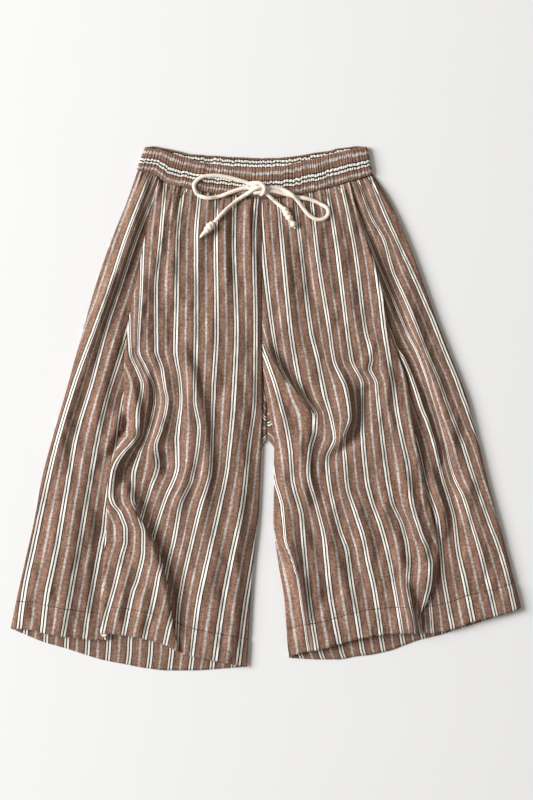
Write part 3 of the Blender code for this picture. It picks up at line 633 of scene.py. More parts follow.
LEFT_END_KNOT = EndKnot(
    "tail_knot_left", (-71, 250.6), 3, 16.0,
    ((0, 2.4), (1.6, 4.4), (5, 5.7), (10, 5.3), (14, 4.5), (16.5, 3.4), (19, 2.8), (24, 2.0), (27, 0.7)),
)
RIGHT_END_KNOT = EndKnot(
    "tail_knot_right", (24.8, 270.4), 3, 18.5,
    (
        (0, 2.4), (1.6, 4.2), (5, 4.9), (10, 4.9), (15, 4.6), (18.5, 3.6), (20.5, 2.5), (22, 3.0),
        (24.6, 4.2), (27.4, 4.0), (29.6, 1.0),
    ),
)


# ------------------------------------------------------------------ curves, colours and nodes


def steady(xs: Sequence[float], ys: Sequence[float], x: np.ndarray) -> np.ndarray:
    """Height at x of a smooth curve through a table's points, which it never swings past.

    Args:
        xs: The points' places, rising or falling.
        ys: The points' heights.
        x: Where the curve is read. Past the ends it runs straight on.

    Returns:
        The heights, in the shape of x.
    """
    xs, ys = np.asarray(xs, float), np.asarray(ys, float)
    if xs[0] > xs[-1]:
        xs, ys = xs[::-1], ys[::-1]
    runs = np.diff(xs)
    rates = np.diff(ys) / runs
    slopes = np.concatenate([rates[:1], np.zeros(len(xs) - 2), rates[-1:]])
    before, after = rates[:-1], rates[1:]
    share = (runs[:-1] + 2 * runs[1:]) / (3 * (runs[:-1] + runs[1:]))
    turning = before * after <= 0
    blend = share * before + (1 - share) * after
    slopes[1:-1] = np.where(turning, 0.0, before * after / np.where(turning, 1.0, blend))
    x = np.asarray(x, float)
    low = np.clip(np.searchsorted(xs, x) - 1, 0, len(xs) - 2)
    span = runs[low]
    t = np.clip((x - xs[low]) / span, 0, 1)
    inside = (
        ys[low] * (1 + 2 * t) * (1 - t) ** 2
        + slopes[low] * span * t * (1 - t) ** 2
        + ys[low + 1] * t * t * (3 - 2 * t)
        + slopes[low + 1] * span * t * t * (t - 1)
    )
    return inside + slopes[0] * np.minimum(x - xs[0], 0) + slopes[-1] * np.maximum(x - xs[-1], 0)


def along(table: Sequence[Sequence[float]], x: np.ndarray, column: int = 1) -> np.ndarray:
    """A column of a table, read by a smooth curve over its first column.

    Args:
        table: Rows of numbers.
        x: Places on the first column.
        column: The column that is read.

    Returns:
        The column's values at x.
    """
    return steady([row[0] for row in table], [row[column] for row in table], x)


def ease(value: np.ndarray, low: float, high: float) -> np.ndarray:
    """A soft step.

    Args:
        value: What is stepped.
        low: Where the step starts.
        high: Where it ends.

    Returns:
        0 below low, 1 above high and a soft rise between.
    """
    t = np.clip((np.asarray(value, float) - low) / (high - low), 0, 1)
    return t * t * (3 - 2 * t)


def mix(a: np.ndarray, b: np.ndarray, share: np.ndarray) -> np.ndarray:
    """The value a share of the way from a to b."""
    return a + (b - a) * share


def linear(colour: str) -> tuple[float, float, float, float]:
    """A linear colour with alpha.

    Args:
        colour: An sRGB hex value, such as "8C6C5A".

    Returns:
        Red, green, blue and alpha for a shader's socket.
    """
    parts = [int(colour[i : i + 2], 16) / 255 for i in (0, 2, 4)]
    return (*[p / 12.92 if p <= 0.04045 else ((p + 0.055) / 1.055) ** 2.4 for p in parts], 1.0)


def add_node(tree: bpy.types.NodeTree, kind: str, inputs: dict | None = None, **settings) -> bpy.types.Node:
    """Adds a node.

    Args:
        tree: The material's node tree.
        kind: The node's type.
        inputs: A value, or another node's output, for each named or numbered socket.
        **settings: The node's own settings.

    Returns:
        The new node.
    """
    node = tree.nodes.new(kind)
    for name, value in settings.items():
        setattr(node, name, value)
    for socket, value in (inputs or {}).items():
        if isinstance(value, bpy.types.NodeSocket):
            tree.links.new(value, node.inputs[socket])
        else:
            node.inputs[socket].default_value = value
    return node


class Blend(Enum):
    """How two colours are put together."""

    OVER = "MIX"
    DARKEN = "MULTIPLY"


def mixed(tree: bpy.types.NodeTree, how: Blend, share, a, b) -> bpy.types.NodeSocket:
    """Puts two colours together.

    Args:
        tree: The material's node tree.
        how: The way of mixing.
        share: A number or a socket.
        a: The first colour or socket.
        b: The second colour or socket.

    Returns:
        The mixed colour's socket.
    """
    node = add_node(tree, "ShaderNodeMix", {0: share, 6: a, 7: b}, data_type="RGBA", blend_type=how.value)
    return node.outputs[2]


# ------------------------------------------------------------------ finishes


@dataclass(frozen=True)
class Stripe:
    """One stretch of the warp: its width in the repeat, in mm, its colour and how heathered it is."""

    width: float
    colour: str
    heather: float = 1.0


@dataclass(frozen=True)
class StripedLinen:
    """Yarn-dyed linen in plain weave: matt, slubby and heathered, with crisp stripes."""

    name: str = "striped_linen_plain_weave"
    ground: str = "8B6A59"
    shaded: str = "826353"
    rust: str = "8F6C59"
    dark: str = "241D1A"
    white: str = "F5F2EC"
    cream: str = "EAE2D7"
    grey: str = "B4AFAB"
    roughness: float = 0.86
    sheen: float = 0.12

    def stripes(self) -> tuple[Stripe, ...]:
        """The warp from the middle of one grey line to the middle of the next."""
        return (
            Stripe(1.45, self.grey, 1.0), Stripe(1.6, self.rust), Stripe(4.25, self.ground),
            Stripe(2.9, self.shaded), Stripe(1.4, self.dark, 0.5), Stripe(2.5, self.white, 0.25),
            Stripe(1.8, self.dark, 0.5), Stripe(2.3, self.cream, 0.25), Stripe(1.4, self.dark, 0.5),
            Stripe(2.8, self.shaded), Stripe(4.4, self.ground), Stripe(1.7, self.rust),
            Stripe(1.45, self.grey, 1.0),
        )

    def ramp(self, tree: bpy.types.NodeTree, place: bpy.types.NodeSocket) -> bpy.types.Node:
        """The stripes' colours over one repeat, with how heathered they are as alpha.

        Args:
            tree: The material's node tree.
            place: The place in the repeat, from 0 to 1.

        Returns:
            The ramp's node.
        """
        node = add_node(tree, "ShaderNodeValToRGB", {0: place})
        stripes = self.stripes()
        total = sum(s.width for s in stripes)
        soft = 0.22 / total  # yarns of two colours lie side by side at a stripe's edge
        stops, at = [(0.0, stripes[0])], 0.0
        for before, after in zip(stripes, stripes[1:]):
            at += before.width / total
            stops += [(at - soft, before), (at + soft, after)]
        stops.append((1.0, stripes[-1]))
        elements = node.color_ramp.elements
        while len(elements) < len(stops):
            elements.new(0.5)
        for element, (position, stripe) in zip(elements, stops):
            element.position = position
            element.color = (*linear(stripe.colour)[:3], stripe.heather)
        return node

    def material(self) -> bpy.types.Material:
        """The finish, read from the cloth's own UV map: across and along the stripes, in repeats."""
        made = bpy.data.materials.new(self.name)
        made.use_nodes = True
        tree = made.node_tree
        shader = tree.nodes["Principled BSDF"]
        shader.inputs["Roughness"].default_value = self.roughness
        shader.inputs["Sheen Weight"].default_value = self.sheen
        shader.inputs["Sheen Roughness"].default_value = 0.6
        shader.inputs["Specular IOR Level"].default_value = 0.2

        cloth = add_node(tree, "ShaderNodeUVMap", uv_map="cloth").outputs[0]

        def grains(across: float, lengthwise: float, detail: float) -> bpy.types.NodeSocket:
            """Noise that is stretched along the warp or the weft, from sizes in mm."""
            scale = (REPEAT / across, REPEAT / lengthwise, 1)
            spread = add_node(tree, "ShaderNodeMapping", {0: cloth, 3: scale})
            noise = add_node(tree, "ShaderNodeTexNoise", {0: spread.outputs[0], 2: 1.0, 3: detail})
            return noise.outputs[0]

        def tones(noise: bpy.types.NodeSocket, darkest: float, lightest: float) -> bpy.types.NodeSocket:
            """A noise as a factor on the colour."""
            return add_node(tree, "ShaderNodeMapRange", {0: noise, 1: 0.3, 2: 0.7, 3: darkest, 4: lightest}).outputs[0]

        parts = add_node(tree, "ShaderNodeSeparateXYZ", {0: cloth})
        # Stripes wander by a yarn or two, as hand-hung warps do.
        wander = add_node(tree, "ShaderNodeMapRange", {0: grains(40, 9, 3), 3: -0.016, 4: 0.016})
        moved = add_node(tree, "ShaderNodeMath", {0: parts.outputs[0], 1: wander.outputs[0]}, operation="ADD")
        centred = add_node(tree, "ShaderNodeMath", {0: moved.outputs[0], 1: 0.5}, operation="ADD")
        place = add_node(tree, "ShaderNodeMath", {0: centred.outputs[0]}, operation="FRACT")
        ramp = self.ramp(tree, place.outputs[0])

        slub = grains(8, 1.8, 3)
        tone = tones(slub, 0.74, 1.24)  # slubs: thick places in the weft, up to a centimetre long
        for noise, darkest, lightest in (
            (grains(2.2, 36, 3), 0.74, 1.28),  # warp yarns of more than one shade
            (grains(2.6, 3.6, 5), 0.62, 1.36),  # neps, where short flax has balled up
            (grains(14, 26, 4), 0.84, 1.17),  # dye worn unevenly over a hand's width
        ):
            factor = tones(noise, darkest, lightest)
            tone = add_node(tree, "ShaderNodeMath", {0: tone, 1: factor}, operation="MULTIPLY").outputs[0]
        heathered = add_node(tree, "ShaderNodeMix", {0: ramp.outputs[1], 2: 1.0, 3: tone}).outputs[0]
        # Darker tones are tinted warmer and lighter ones cooler: painted warmth standing in for light bounced off the
        # brown cloth into shade, though it follows the yarn's random tones, not where shade falls.
        less, least = (
            add_node(tree, "ShaderNodeMath", {0: heathered, 1: power}, operation="POWER").outputs[0] for power in (1.06, 1.16)
        )
        grey = add_node(tree, "ShaderNodeCombineColor", {0: heathered, 1: less, 2: least})
        tones_and_painted_warmth = mixed(tree, Blend.DARKEN, 1.0, ramp.outputs[0], grey.outputs[0])
        tree.links.new(tones_and_painted_warmth, shader.inputs["Base Color"])

        # Threads, one each 1.2 mm as drawn, twice the real spacing, so that close views show them.
        pitch = REPEAT / 1.2 * 2 * math.pi
        relief = add_node(tree, "ShaderNodeMath", {0: grains(6, 9, 4), 1: 2.4}, operation="MULTIPLY").outputs[0]
        for axis in (0, 1):
            turned = add_node(tree, "ShaderNodeMath", {0: parts.outputs[axis], 1: pitch}, operation="MULTIPLY")
            wave = add_node(tree, "ShaderNodeMath", {0: turned.outputs[0]}, operation="SINE")
            share = add_node(
                tree, "ShaderNodeMath", {0: wave.outputs[0], 1: 0.12, 2: relief}, operation="MULTIPLY_ADD"
            )
            relief = share.outputs[0]
        relief = add_node(tree, "ShaderNodeMath", {0: slub, 1: 0.6, 2: relief}, operation="MULTIPLY_ADD").outputs[0]
        bump = add_node(tree, "ShaderNodeBump", {0: 0.55, 1: 0.0009, 2: relief})
        tree.links.new(bump.outputs[0], shader.inputs["Normal"])
        return made


@dataclass(frozen=True)
class CottonCord:
    """Undyed knitted cotton cord: soft and matt, with fine stitches along it."""

    name: str = "undyed_cotton_cord"
    light: str = "FBF3E9"
    shade: str = "F0E0CE"
    roughness: float = 0.8
    sheen: float = 0.2

    def material(self) -> bpy.types.Material:
        """The finish, read from the cord's own UV map: round it and along it, in diameters."""
        made = bpy.data.materials.new(self.name)
        made.use_nodes = True
        tree = made.node_tree
        shader = tree.nodes["Principled BSDF"]
        shader.inputs["Roughness"].default_value = self.roughness
        shader.inputs["Sheen Weight"].default_value = self.sheen
        shader.inputs["Specular IOR Level"].default_value = 0.25
        cord = add_node(tree, "ShaderNodeUVMap", uv_map="cloth").outputs[0]
        # Knitted ribs run along the cord, and its stitches cross them each 1.2 mm.
        spread = add_node(tree, "ShaderNodeMapping", {0: cord, 3: (5, 5, 1)})
        ribs = add_node(tree, "ShaderNodeTexWave", {0: spread.outputs[0], 1: 1.0, 2: 1.2, 3: 1.0, 4: 1.5})
        long_spread = add_node(tree, "ShaderNodeMapping", {0: cord, 3: (9, 1.2, 1)})
        streaks = add_node(tree, "ShaderNodeTexNoise", {0: long_spread.outputs[0], 2: 1.0, 3: 3.0})
        share = add_node(tree, "ShaderNodeMapRange", {0: streaks.outputs[0], 1: 0.35, 2: 0.65, 3: 0.0, 4: 1.0})
        # The colour runs between the light and the shade cream along these streaks: painted highlight and shade of the
        # knitted ribs.
        colour = mixed(tree, Blend.OVER, share.outputs[0], linear(self.shade), linear(self.light))
        tree.links.new(colour, shader.inputs["Base Color"])
        height = add_node(
            tree, "ShaderNodeMath", {0: ribs.outputs[1], 1: 0.4, 2: streaks.outputs[0]}, operation="MULTIPLY_ADD"
        )
        bump = add_node(tree, "ShaderNodeBump", {0: 0.5, 1: 0.0006, 2: height.outputs[0]})
        tree.links.new(bump.outputs[0], shader.inputs["Normal"])
        return made


@dataclass(frozen=True)
class SewingThread:
    """Polyester sewing thread: twisted, with a slight shine."""

    name: str = "polyester_sewing_thread"
    colour: str = "2C1D16"
    roughness: float = 0.55

    def material(self) -> bpy.types.Material:
        """The finish, with painted light and shade for the turns of the thread's twist, as fine noise."""
        made = bpy.data.materials.new(self.name)
        made.use_nodes = True
        tree = made.node_tree
        shader = tree.nodes["Principled BSDF"]
        shader.inputs["Roughness"].default_value = self.roughness
        place = add_node(tree, "ShaderNodeTexCoord").outputs["Object"]
        # Painted light and shade of the twist's turns.
        twist = add_node(tree, "ShaderNodeTexNoise", {0: place, 2: 1800.0, 3: 1.0})
        tone = add_node(tree, "ShaderNodeMapRange", {0: twist.outputs[0], 1: 0.3, 2: 0.7, 3: 0.7, 4: 1.25})
        grey = add_node(tree, "ShaderNodeCombineColor", {0: tone.outputs[0], 1: tone.outputs[0], 2: tone.outputs[0]})
        tree.links.new(mixed(tree, Blend.DARKEN, 1.0, linear(self.colour), grey.outputs[0]), shader.inputs["Base Color"])
        return made


@dataclass(frozen=True)
class PaleBoard:
    """Matt white board under the shorts, with the faintest mottling."""

    name: str = "matt_white_board"
    colour: str = "F6F7F8"

    def material(self) -> bpy.types.Material:
        """The finish of the floor."""
        made = bpy.data.materials.new(self.name)
        made.use_nodes = True
        tree = made.node_tree
        shader = tree.nodes["Principled BSDF"]
        shader.inputs["Roughness"].default_value = 0.9
        shader.inputs["Specular IOR Level"].default_value = 0.1
        place = add_node(tree, "ShaderNodeTexCoord").outputs["Object"]
        mottle = add_node(tree, "ShaderNodeTexNoise", {0: place, 2: 6.0, 3: 2.0})
        tone = add_node(tree, "ShaderNodeMapRange", {0: mottle.outputs[0], 3: 0.985, 4: 1.0})
        grey = add_node(tree, "ShaderNodeCombineColor", {0: tone.outputs[0], 1: tone.outputs[0], 2: tone.outputs[0]})
        tree.links.new(mixed(tree, Blend.DARKEN, 1.0, linear(self.colour), grey.outputs[0]), shader.inputs["Base Color"])
        return made


# ------------------------------------------------------------------ meshes


def select_only(piece: bpy.types.Object) -> None:
    """Makes a piece the one that operators work on."""
    bpy.ops.object.select_all(action="DESELECT")
    piece.select_set(True)
    bpy.context.view_layer.objects.active = piece


def cloth_mesh(name: str, points: np.ndarray, uv: np.ndarray, material: bpy.types.Material) -> bpy.types.Object:
    """Shapes a grid into a stretch of cloth or cord.

    Args:
        name: The piece's name.
        points: Rows and columns of points, in mm.
        uv: The same rows and columns of pattern places.
        material: The finish.

    Returns:
        The piece.
    """
    rows, columns = points.shape[:2]
    bpy.ops.object.select_all(action="DESELECT")
    bpy.ops.mesh.primitive_grid_add(x_subdivisions=columns - 1, y_subdivisions=rows - 1, size=1, calc_uvs=True)
    piece = bpy.context.object
    piece.name = piece.data.name = name
    mesh = piece.data
    mesh.vertices.foreach_set("co", (points.reshape(-1, 3) * MM).astype(np.float32).ravel())
    corners = np.zeros(len(mesh.loops), np.int32)
    mesh.loops.foreach_get("vertex_index", corners)
    mesh.uv_layers[0].name = "cloth"
    mesh.uv_layers[0].data.foreach_set("uv", uv.reshape(-1, 2)[corners].astype(np.float32).ravel())
    mesh.materials.append(material)
    mesh.shade_smooth()
    mesh.update()
    return piece


def sew_closed(piece: bpy.types.Object) -> bpy.types.Object:
    """Merges the edges of a piece that meet, and turns its faces outwards."""
    select_only(piece)
    bpy.ops.object.mode_set(mode="EDIT")
    bpy.ops.mesh.select_all(action="SELECT")
    bpy.ops.mesh.remove_doubles(threshold=0.000004)
    bpy.ops.mesh.normals_make_consistent(inside=False)
    bpy.ops.object.mode_set(mode="OBJECT")
    return piece


def thicken(piece: bpy.types.Object, thickness: float) -> bpy.types.Object:
    """Gives a sheet its thickness.

    Args:
        piece: The sheet, with its faces up.
        thickness: In mm, half to each side.

    Returns:
        The piece.
    """
    select_only(piece)
    solid = piece.modifiers.new("thickness", "SOLIDIFY")
    solid.thickness = thickness * MM
    solid.offset = 0.0
    solid.use_rim = True
    bpy.ops.object.modifier_apply(modifier=solid.name)
    piece.data.shade_smooth()
    return piece


def settle(piece: bpy.types.Object, slot: str, *nodes: str) -> bpy.types.Object:
    """Hands a finished piece to the frame.

    Args:
        piece: The piece, at the origin.
        slot: A material slot's name. Not used.
        *nodes: The CAD nodes that it stands for.

    Returns:
        The piece.
    """
    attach(piece, "root")
    if nodes:
        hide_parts(*nodes)
    log.info("%s: %d triangles", piece.name, sum(len(p.vertices) - 2 for p in piece.data.polygons))
    return piece


# ------------------------------------------------------------------ the cloth of a leg


@dataclass(frozen=True)
class Rumple:
    """Small uneven waves all over laid cloth, most of them down the grain."""

    seed: int
    waves: int = 26
    shortest: float = 16.0
    longest: float = 90.0
    height: float = 0.34

    def at(self, x: np.ndarray, y: np.ndarray) -> np.ndarray:
        """Their height, in mm.

        Args:
            x: Places across.
            y: Places along.

        Returns:
            Heights, in the shape of x.
        """
        rng = np.random.default_rng(self.seed)
        total = np.zeros_like(x)
        for _ in range(self.waves):
            length = self.shortest * (self.longest / self.shortest) ** rng.random()
            turn = rng.normal(0.0, 0.55)
            phase = rng.random() * 2 * math.pi
            swing = length / self.longest * 1.6 + 0.35
            run = (x * math.cos(turn) + y * math.sin(turn)) * 2 * math.pi / length
            bend = 0.9 * np.sin(y * 2 * math.pi / (length * 4.3) + phase * 1.7)
            total += self.height * swing * np.sin(run + bend + phase) / math.sqrt(self.waves / 6)
        return total


@dataclass
class FrontPanel:
    """The front of one leg: one layer of linen with its gathers, pleat, folds and hem."""

    leg: Leg
    rows: int = 190
    lowest: float = 2.0
    crown: float = 6.5
    hem_loft: float = 3.0
    fold_softness: float = 4.0
    steps: np.ndarray = field(init=False)
    lifts: list[tuple[np.ndarray, np.ndarray]] = field(init=False)
    fold_shares: list[np.ndarray] = field(init=False)
    points: np.ndarray = field(init=False)
    uv: np.ndarray = field(init=False)

    def __post_init__(self) -> None:
        """Sets the rows, one of them on the hem's stitching."""
        even = np.linspace(0, 1, self.rows)
        stitched = 1 - HEM_DEPTH / PANEL_LENGTH
        even[np.argmin(abs(even - stitched))] = stitched
        self.steps = even[:, None]

    def height_of_row(self, across: np.ndarray, part: np.ndarray) -> np.ndarray:
        """The y of points in each row.

        Args:
            across: Their share of the way from the inner edge to the side seam.
            part: 0 on the hem's inner part and 1 on its side part.

        Returns:
            The y, in mm.
        """
        leg = self.leg
        seam_ends = (leg.edges[0][2], WAIST_SEAM[-1][0] if leg.way > 0 else WAIST_SEAM[0][0])
        inner, side = leg.hem_inner_part, leg.hem_side_part
        hem_ends = (inner[0][0], side[-1][0]) if leg.way > 0 else (inner[-1][0], side[0][0])
        top = along(WAIST_SEAM, mix(*seam_ends, across)) + 1.2
        hem_x = mix(*hem_ends, across)
        hem = mix(along(inner, hem_x), along(side, hem_x), part)
        return mix(top, hem, self.steps)

    def place(self, across: np.ndarray, part: np.ndarray) -> tuple[np.ndarray, np.ndarray]:
        """The x and y of points in each row, from their share across and their hem part."""
        y = self.height_of_row(across, part)
        return mix(along(self.leg.edges, y, 2), along(self.leg.edges, y, 1), across), y

    def share_of(self, line: Callable[[np.ndarray], np.ndarray], part: np.ndarray) -> np.ndarray:
        """How far across the leg a line lies.

        Args:
            line: The line's x at any y.
            part: 0 on the hem's inner part and 1 on its side part.

        Returns:
            The share of the way from the inner edge to the side seam, in each row.
        """
        across = np.full(np.broadcast(self.steps, part).shape, 0.6)
        for _ in range(7):
            y = self.height_of_row(across, part)
            inner, side = along(self.leg.edges, y, 2), along(self.leg.edges, y, 1)
            across = (line(y) - inner) / (side - inner)
        return across

    def fold_line(self, overlap: Overlap, t: np.ndarray) -> Callable[[np.ndarray], np.ndarray]:
        """The S-shaped way of the cloth through an overlap, seen from its end.

        Args:
            overlap: The overlap.
            t: From 0 on the inner side to 1 on the outward side.

        Returns:
            A function that gives x at any y.
        """
        reach = 0.2887  # how far a unit of the S curve's handles swings it out
        rest = self.fold_softness

        def x_at(y: np.ndarray) -> np.ndarray:
            edge, tuck = along(overlap.rows, y, 1), along(overlap.rows, y, 2)
            half = tuck / 2
            handle = np.maximum(half + 0.49 * rest, 0) / reach
            middle = edge - self.leg.way * half * (1 if overlap.inner_on_top else -1)
            swing = -rest * (1 - t) ** 3 + 3 * handle * t * (1 - t) * (1 - 2 * t) + rest * t**3
            return middle + self.leg.way * swing

        return x_at

    def crease_height(self, x: np.ndarray, y: np.ndarray) -> np.ndarray:
        """How high the ridges and troughs raise the cloth, in mm."""
        total = np.zeros_like(x)
        for crease in self.leg.creases:
            spans = np.array([math.dist(a, b) for a, b in zip(crease.line, crease.line[1:])])
            reached = np.concatenate([[0], np.cumsum(spans)]) / spans.sum()
            nearest = np.full(x.shape, 1e9)
            shape = np.zeros_like(x)
            for i, ((ax, ay), (bx, by)) in enumerate(zip(crease.line, crease.line[1:])):
                run, rise = bx - ax, by - ay
                t = np.clip(((x - ax) * run + (y - ay) * rise) / spans[i] ** 2, 0, 1)
                away = np.hypot(x - ax - t * run, y - ay - t * rise)
                width = np.where(x > ax + t * run, crease.beyond, crease.before)
                share = mix(reached[i], reached[i + 1], t)
                fade = ease(share, -0.02, 0.22) * ease(1 - share, -0.02, 0.22)
                closer = away < nearest
                shape = np.where(closer, fade * np.exp(-((away / width) ** 2)), shape)
                nearest = np.where(closer, away, nearest)
            total += crease.rise * shape
        return total

    def gathers(self, x: np.ndarray, y: np.ndarray, across: np.ndarray) -> np.ndarray:
        """How high the gathers under the waistband raise the cloth, in mm."""
        seam_x = mix(self.leg.edges[0][2], WAIST_SEAM[-1][0] if self.leg.way > 0 else WAIST_SEAM[0][0], across)
        below = along(WAIST_SEAM, seam_x) - y
        uneven = 0.6 + 0.4 * np.sin(seam_x * 0.21 + 1.3) * np.sin(seam_x * 0.083)
        total = np.zeros_like(x)
        for pitch, height, length in ((4.4, 1.3, 18), (9.3, 1.5, 60), (23.0, 1.9, 130)):
            wander = 1.4 * np.sin(seam_x / pitch * 0.71 + pitch) + 0.25 * np.sin(below / length * 5)
            wave = np.cos(2 * math.pi * seam_x / pitch + wander)
            total += height * uneven * wave * (1 - ease(below, 0, length * (0.7 + uneven)))
        return total * ease(below, -4, 6)

    def ground(self, x: np.ndarray, y: np.ndarray, across: np.ndarray, segment: int) -> np.ndarray:
        """The height of the cloth over the surface, before its overlaps lift it, in mm.

        Args:
            x: Places across.
            y: Places along.
            across: The same places as shares of the way to the side seam.
            segment: 0 for the innermost stretch between overlaps, and on outward.

        Returns:
            Heights, in the shape of x.
        """
        last = segment == len(self.leg.overlaps)
        from_edges = np.minimum(across, 1 - across)
        if last:
            ridge = along(self.leg.overlaps[-1].rows, y, 1)
            side = along(self.leg.edges, y, 1)
            share = np.clip((x - ridge) / (side - ridge), 0, 1)
            highest = self.leg.side_crown_at
            full = self.leg.side_crown * ease(share, -0.12, highest) * (1 - 0.95 * ease(share, highest, 1.0))
        else:
            parted = ease(-y, -90, 30)  # 0 where the centre seam joins the legs
            full = self.crown * mix(mix(0.72, 0.25, parted), 1.0, ease(across, 0, mix(0.03, 0.08, parted)))
        if segment < len(self.leg.overlaps) and not self.leg.overlaps[segment].inner_on_top:
            rows = self.leg.overlaps[segment].rows
            beside = np.abs(x - along(rows, y, 1))
            full = full * (1 - 0.6 * np.exp(-beside / 16) * ease(along(rows, y, 2), 0, 14))
        full = mix(2.6, full, ease(self.steps, 0.004, 0.05)) - 2.4 * (1 - ease(self.steps, 0.002, 0.012))
        round_side = 1.1 * (1 - ease(1 - across, 0.0, 0.012)) if last else 0.0
        loft = self.hem_loft * ease(self.steps, 0.86, 1.0) * np.sin(math.pi * np.clip(across, 0, 1)) ** 0.6
        hem = 0.55 * ease(self.steps, 1 - (HEM_DEPTH + 1) / PANEL_LENGTH, 1 - (HEM_DEPTH - 2) / PANEL_LENGTH)
        stitched = 1 - HEM_DEPTH / PANEL_LENGTH
        pucker = 0.3 * np.sin(x / 1.9 + 1.2 * np.sin(x / 7.3))
        hem = hem - (0.9 + pucker) * np.exp(-(((self.steps - stitched) * PANEL_LENGTH / 2.6) ** 2))
        calm = ease(from_edges, 0.0, 0.05)
        seed = 11 if self.leg.way > 0 else 23
        rumple = Rumple(seed).at(x, y) + Rumple(seed + 1, waves=18, shortest=7, longest=22, height=0.12).at(x, y)
        moved = (self.crease_height(x, y) + rumple) * calm + self.gathers(x, y, across)
        clear = 2.2 * ease(self.steps, 0.76, 0.86) * np.sin(math.pi * np.clip(across, 0, 1)) ** 0.5
        return np.maximum(self.lowest + full + loft + hem + moved - round_side, self.lowest - 0.35 + clear)

    def sides_of(self, index: int) -> tuple[int, int]:
        """The stretch on top and the one below at an overlap."""
        return (index, index + 1) if self.leg.overlaps[index].inner_on_top else (index + 1, index)

    def measure_lifts(self) -> None:
        """Finds how far the upper side of each overlap rises to lie clear on the lower one."""
        self.lifts = []
        for i, overlap in enumerate(self.leg.overlaps):
            flat = np.zeros((1, 1))
            across = self.share_of(lambda y, rows=overlap.rows: along(rows, y, 1), flat)
            x, y = self.place(across, flat)
            top, low = (self.ground(x, y, across, side) for side in self.sides_of(i))
            folded = ease(along(overlap.rows, y, 2), -4, 6)
            rise = np.maximum(low + np.maximum(along(overlap.rows, y, 3), 2.3) - top, 0) * folded
            kernel = np.hanning(11) / np.hanning(11).sum()
            rise = np.convolve(np.pad(rise[:, 0], 5, mode="edge"), kernel, mode="valid")
            self.lifts.append((y[::-1, 0], rise[::-1]))

    def level(self, x: np.ndarray, y: np.ndarray, across: np.ndarray, segment: int) -> np.ndarray:
        """The height of the cloth over the surface, with what its overlaps add, in mm."""
        lift = np.zeros_like(x)
        for i, (overlap, (ys, rises)) in enumerate(zip(self.leg.overlaps, self.lifts)):
            if self.sides_of(i)[0] != segment:
                continue
            tuck = np.maximum(along(overlap.rows, y, 2), 0)
            on_top = -1 if overlap.inner_on_top else 1
            behind = (x - along(overlap.rows, y, 1)) * self.leg.way * on_top
            near = np.exp(-np.maximum(behind - tuck - 4, 0) / 12)
            lift = np.maximum(lift, np.interp(y, ys, rises) * near)
        return self.ground(x, y, across, segment) + lift

    def count(self, x: np.ndarray, y: np.ndarray, segment: int) -> np.ndarray:
        """Stripe repeats from the inseam, at places on the cloth.

        Args:
            x: Places across.
            y: Places along.
            segment: Which stretch between overlaps they are on.

        Returns:
            The count, in the shape of x.
        """
        whole = self.chart_count(x, y, self.leg.charts[segment])
        if segment:
            tuck = along(self.leg.overlaps[segment - 1].rows, y, 2)
            if tuck.min() < 0:
                inner = self.chart_count(x, y, self.leg.charts[segment - 1])
                return mix(inner, whole, ease(tuck, -6, 5))
        elif self.leg.wedge:
            line = self.leg.wedge.line
            limit = steady([p[1] for p in line], [p[0] for p in line], y)
            return np.where(self.leg.way * (x - limit) < 0, self.chart_count(x, y, self.leg.wedge.chart), whole)
        return whole

    def chart_count(self, x: np.ndarray, y: np.ndarray, chart: Sequence[Grain]) -> np.ndarray:
        """Stripe repeats from the inseam by one chart of stripes."""
        total, past_before, before = None, None, None
        for grain in chart:
            at = steady([p[1] for p in grain.line], [p[0] for p in grain.line], y)
            past = self.leg.way * (x - at)
            beyond = grain.count + past / REPEAT
            if total is None:
                total = beyond
            else:
                past = np.minimum(past, past_before - LINES_APART)
                share = past_before / (past_before - past)
                between = mix(before, grain.count, share)
                total = np.where(past_before > 0, np.where(past > 0, beyond, between), total)
            past_before, before = past, grain.count
        return total

    def fold_times(self, index: int) -> np.ndarray:
        """Where along an overlap's S curve the columns are, with half of them on what shows."""
        columns = self.leg.columns[2 * index + 1]
        shown = columns // 2
        times = np.concatenate([np.linspace(0, NOSE, shown), np.linspace(NOSE, 1, columns - shown + 1)[1:]])
        if not self.leg.overlaps[index].inner_on_top:
            times = (1 - times)[::-1]
        return times[None, :]

    def through_fold(self, index: int) -> tuple[np.ndarray, ...]:
        """The stretch of cloth that goes through an overlap.

        Args:
            index: Which overlap.

        Returns:
            Its x, y, height and count of stripes.
        """
        t = self.fold_times(index)
        shares = self.fold_shares[index]
        part = np.broadcast_to(t if index == len(self.leg.overlaps) - 1 else np.zeros_like(t), shares.shape)
        x, y = self.place(shares, part)
        inner, outer = self.level(x, y, shares, index), self.level(x, y, shares, index + 1)
        turned = 0.5 * ease(t, 0.06, 0.36) + 0.5 * ease(t, 0.64, 0.94)
        inner_count, outer_count = self.count(x, y, index), self.count(x, y, index + 1)
        first = int(np.argmin(abs(t[0] - NOSE)))
        last = int(np.argmin(abs(t[0] - (1 - NOSE))))
        middle = np.clip((t - t[0, first]) / (t[0, last] - t[0, first]), 0, 1)
        hidden = mix(inner_count[:, first : first + 1], outer_count[:, last : last + 1], middle)
        count = np.where(t <= t[0, first], inner_count, np.where(t >= t[0, last], outer_count, hidden))
        return x, y, mix(inner, outer, turned), count

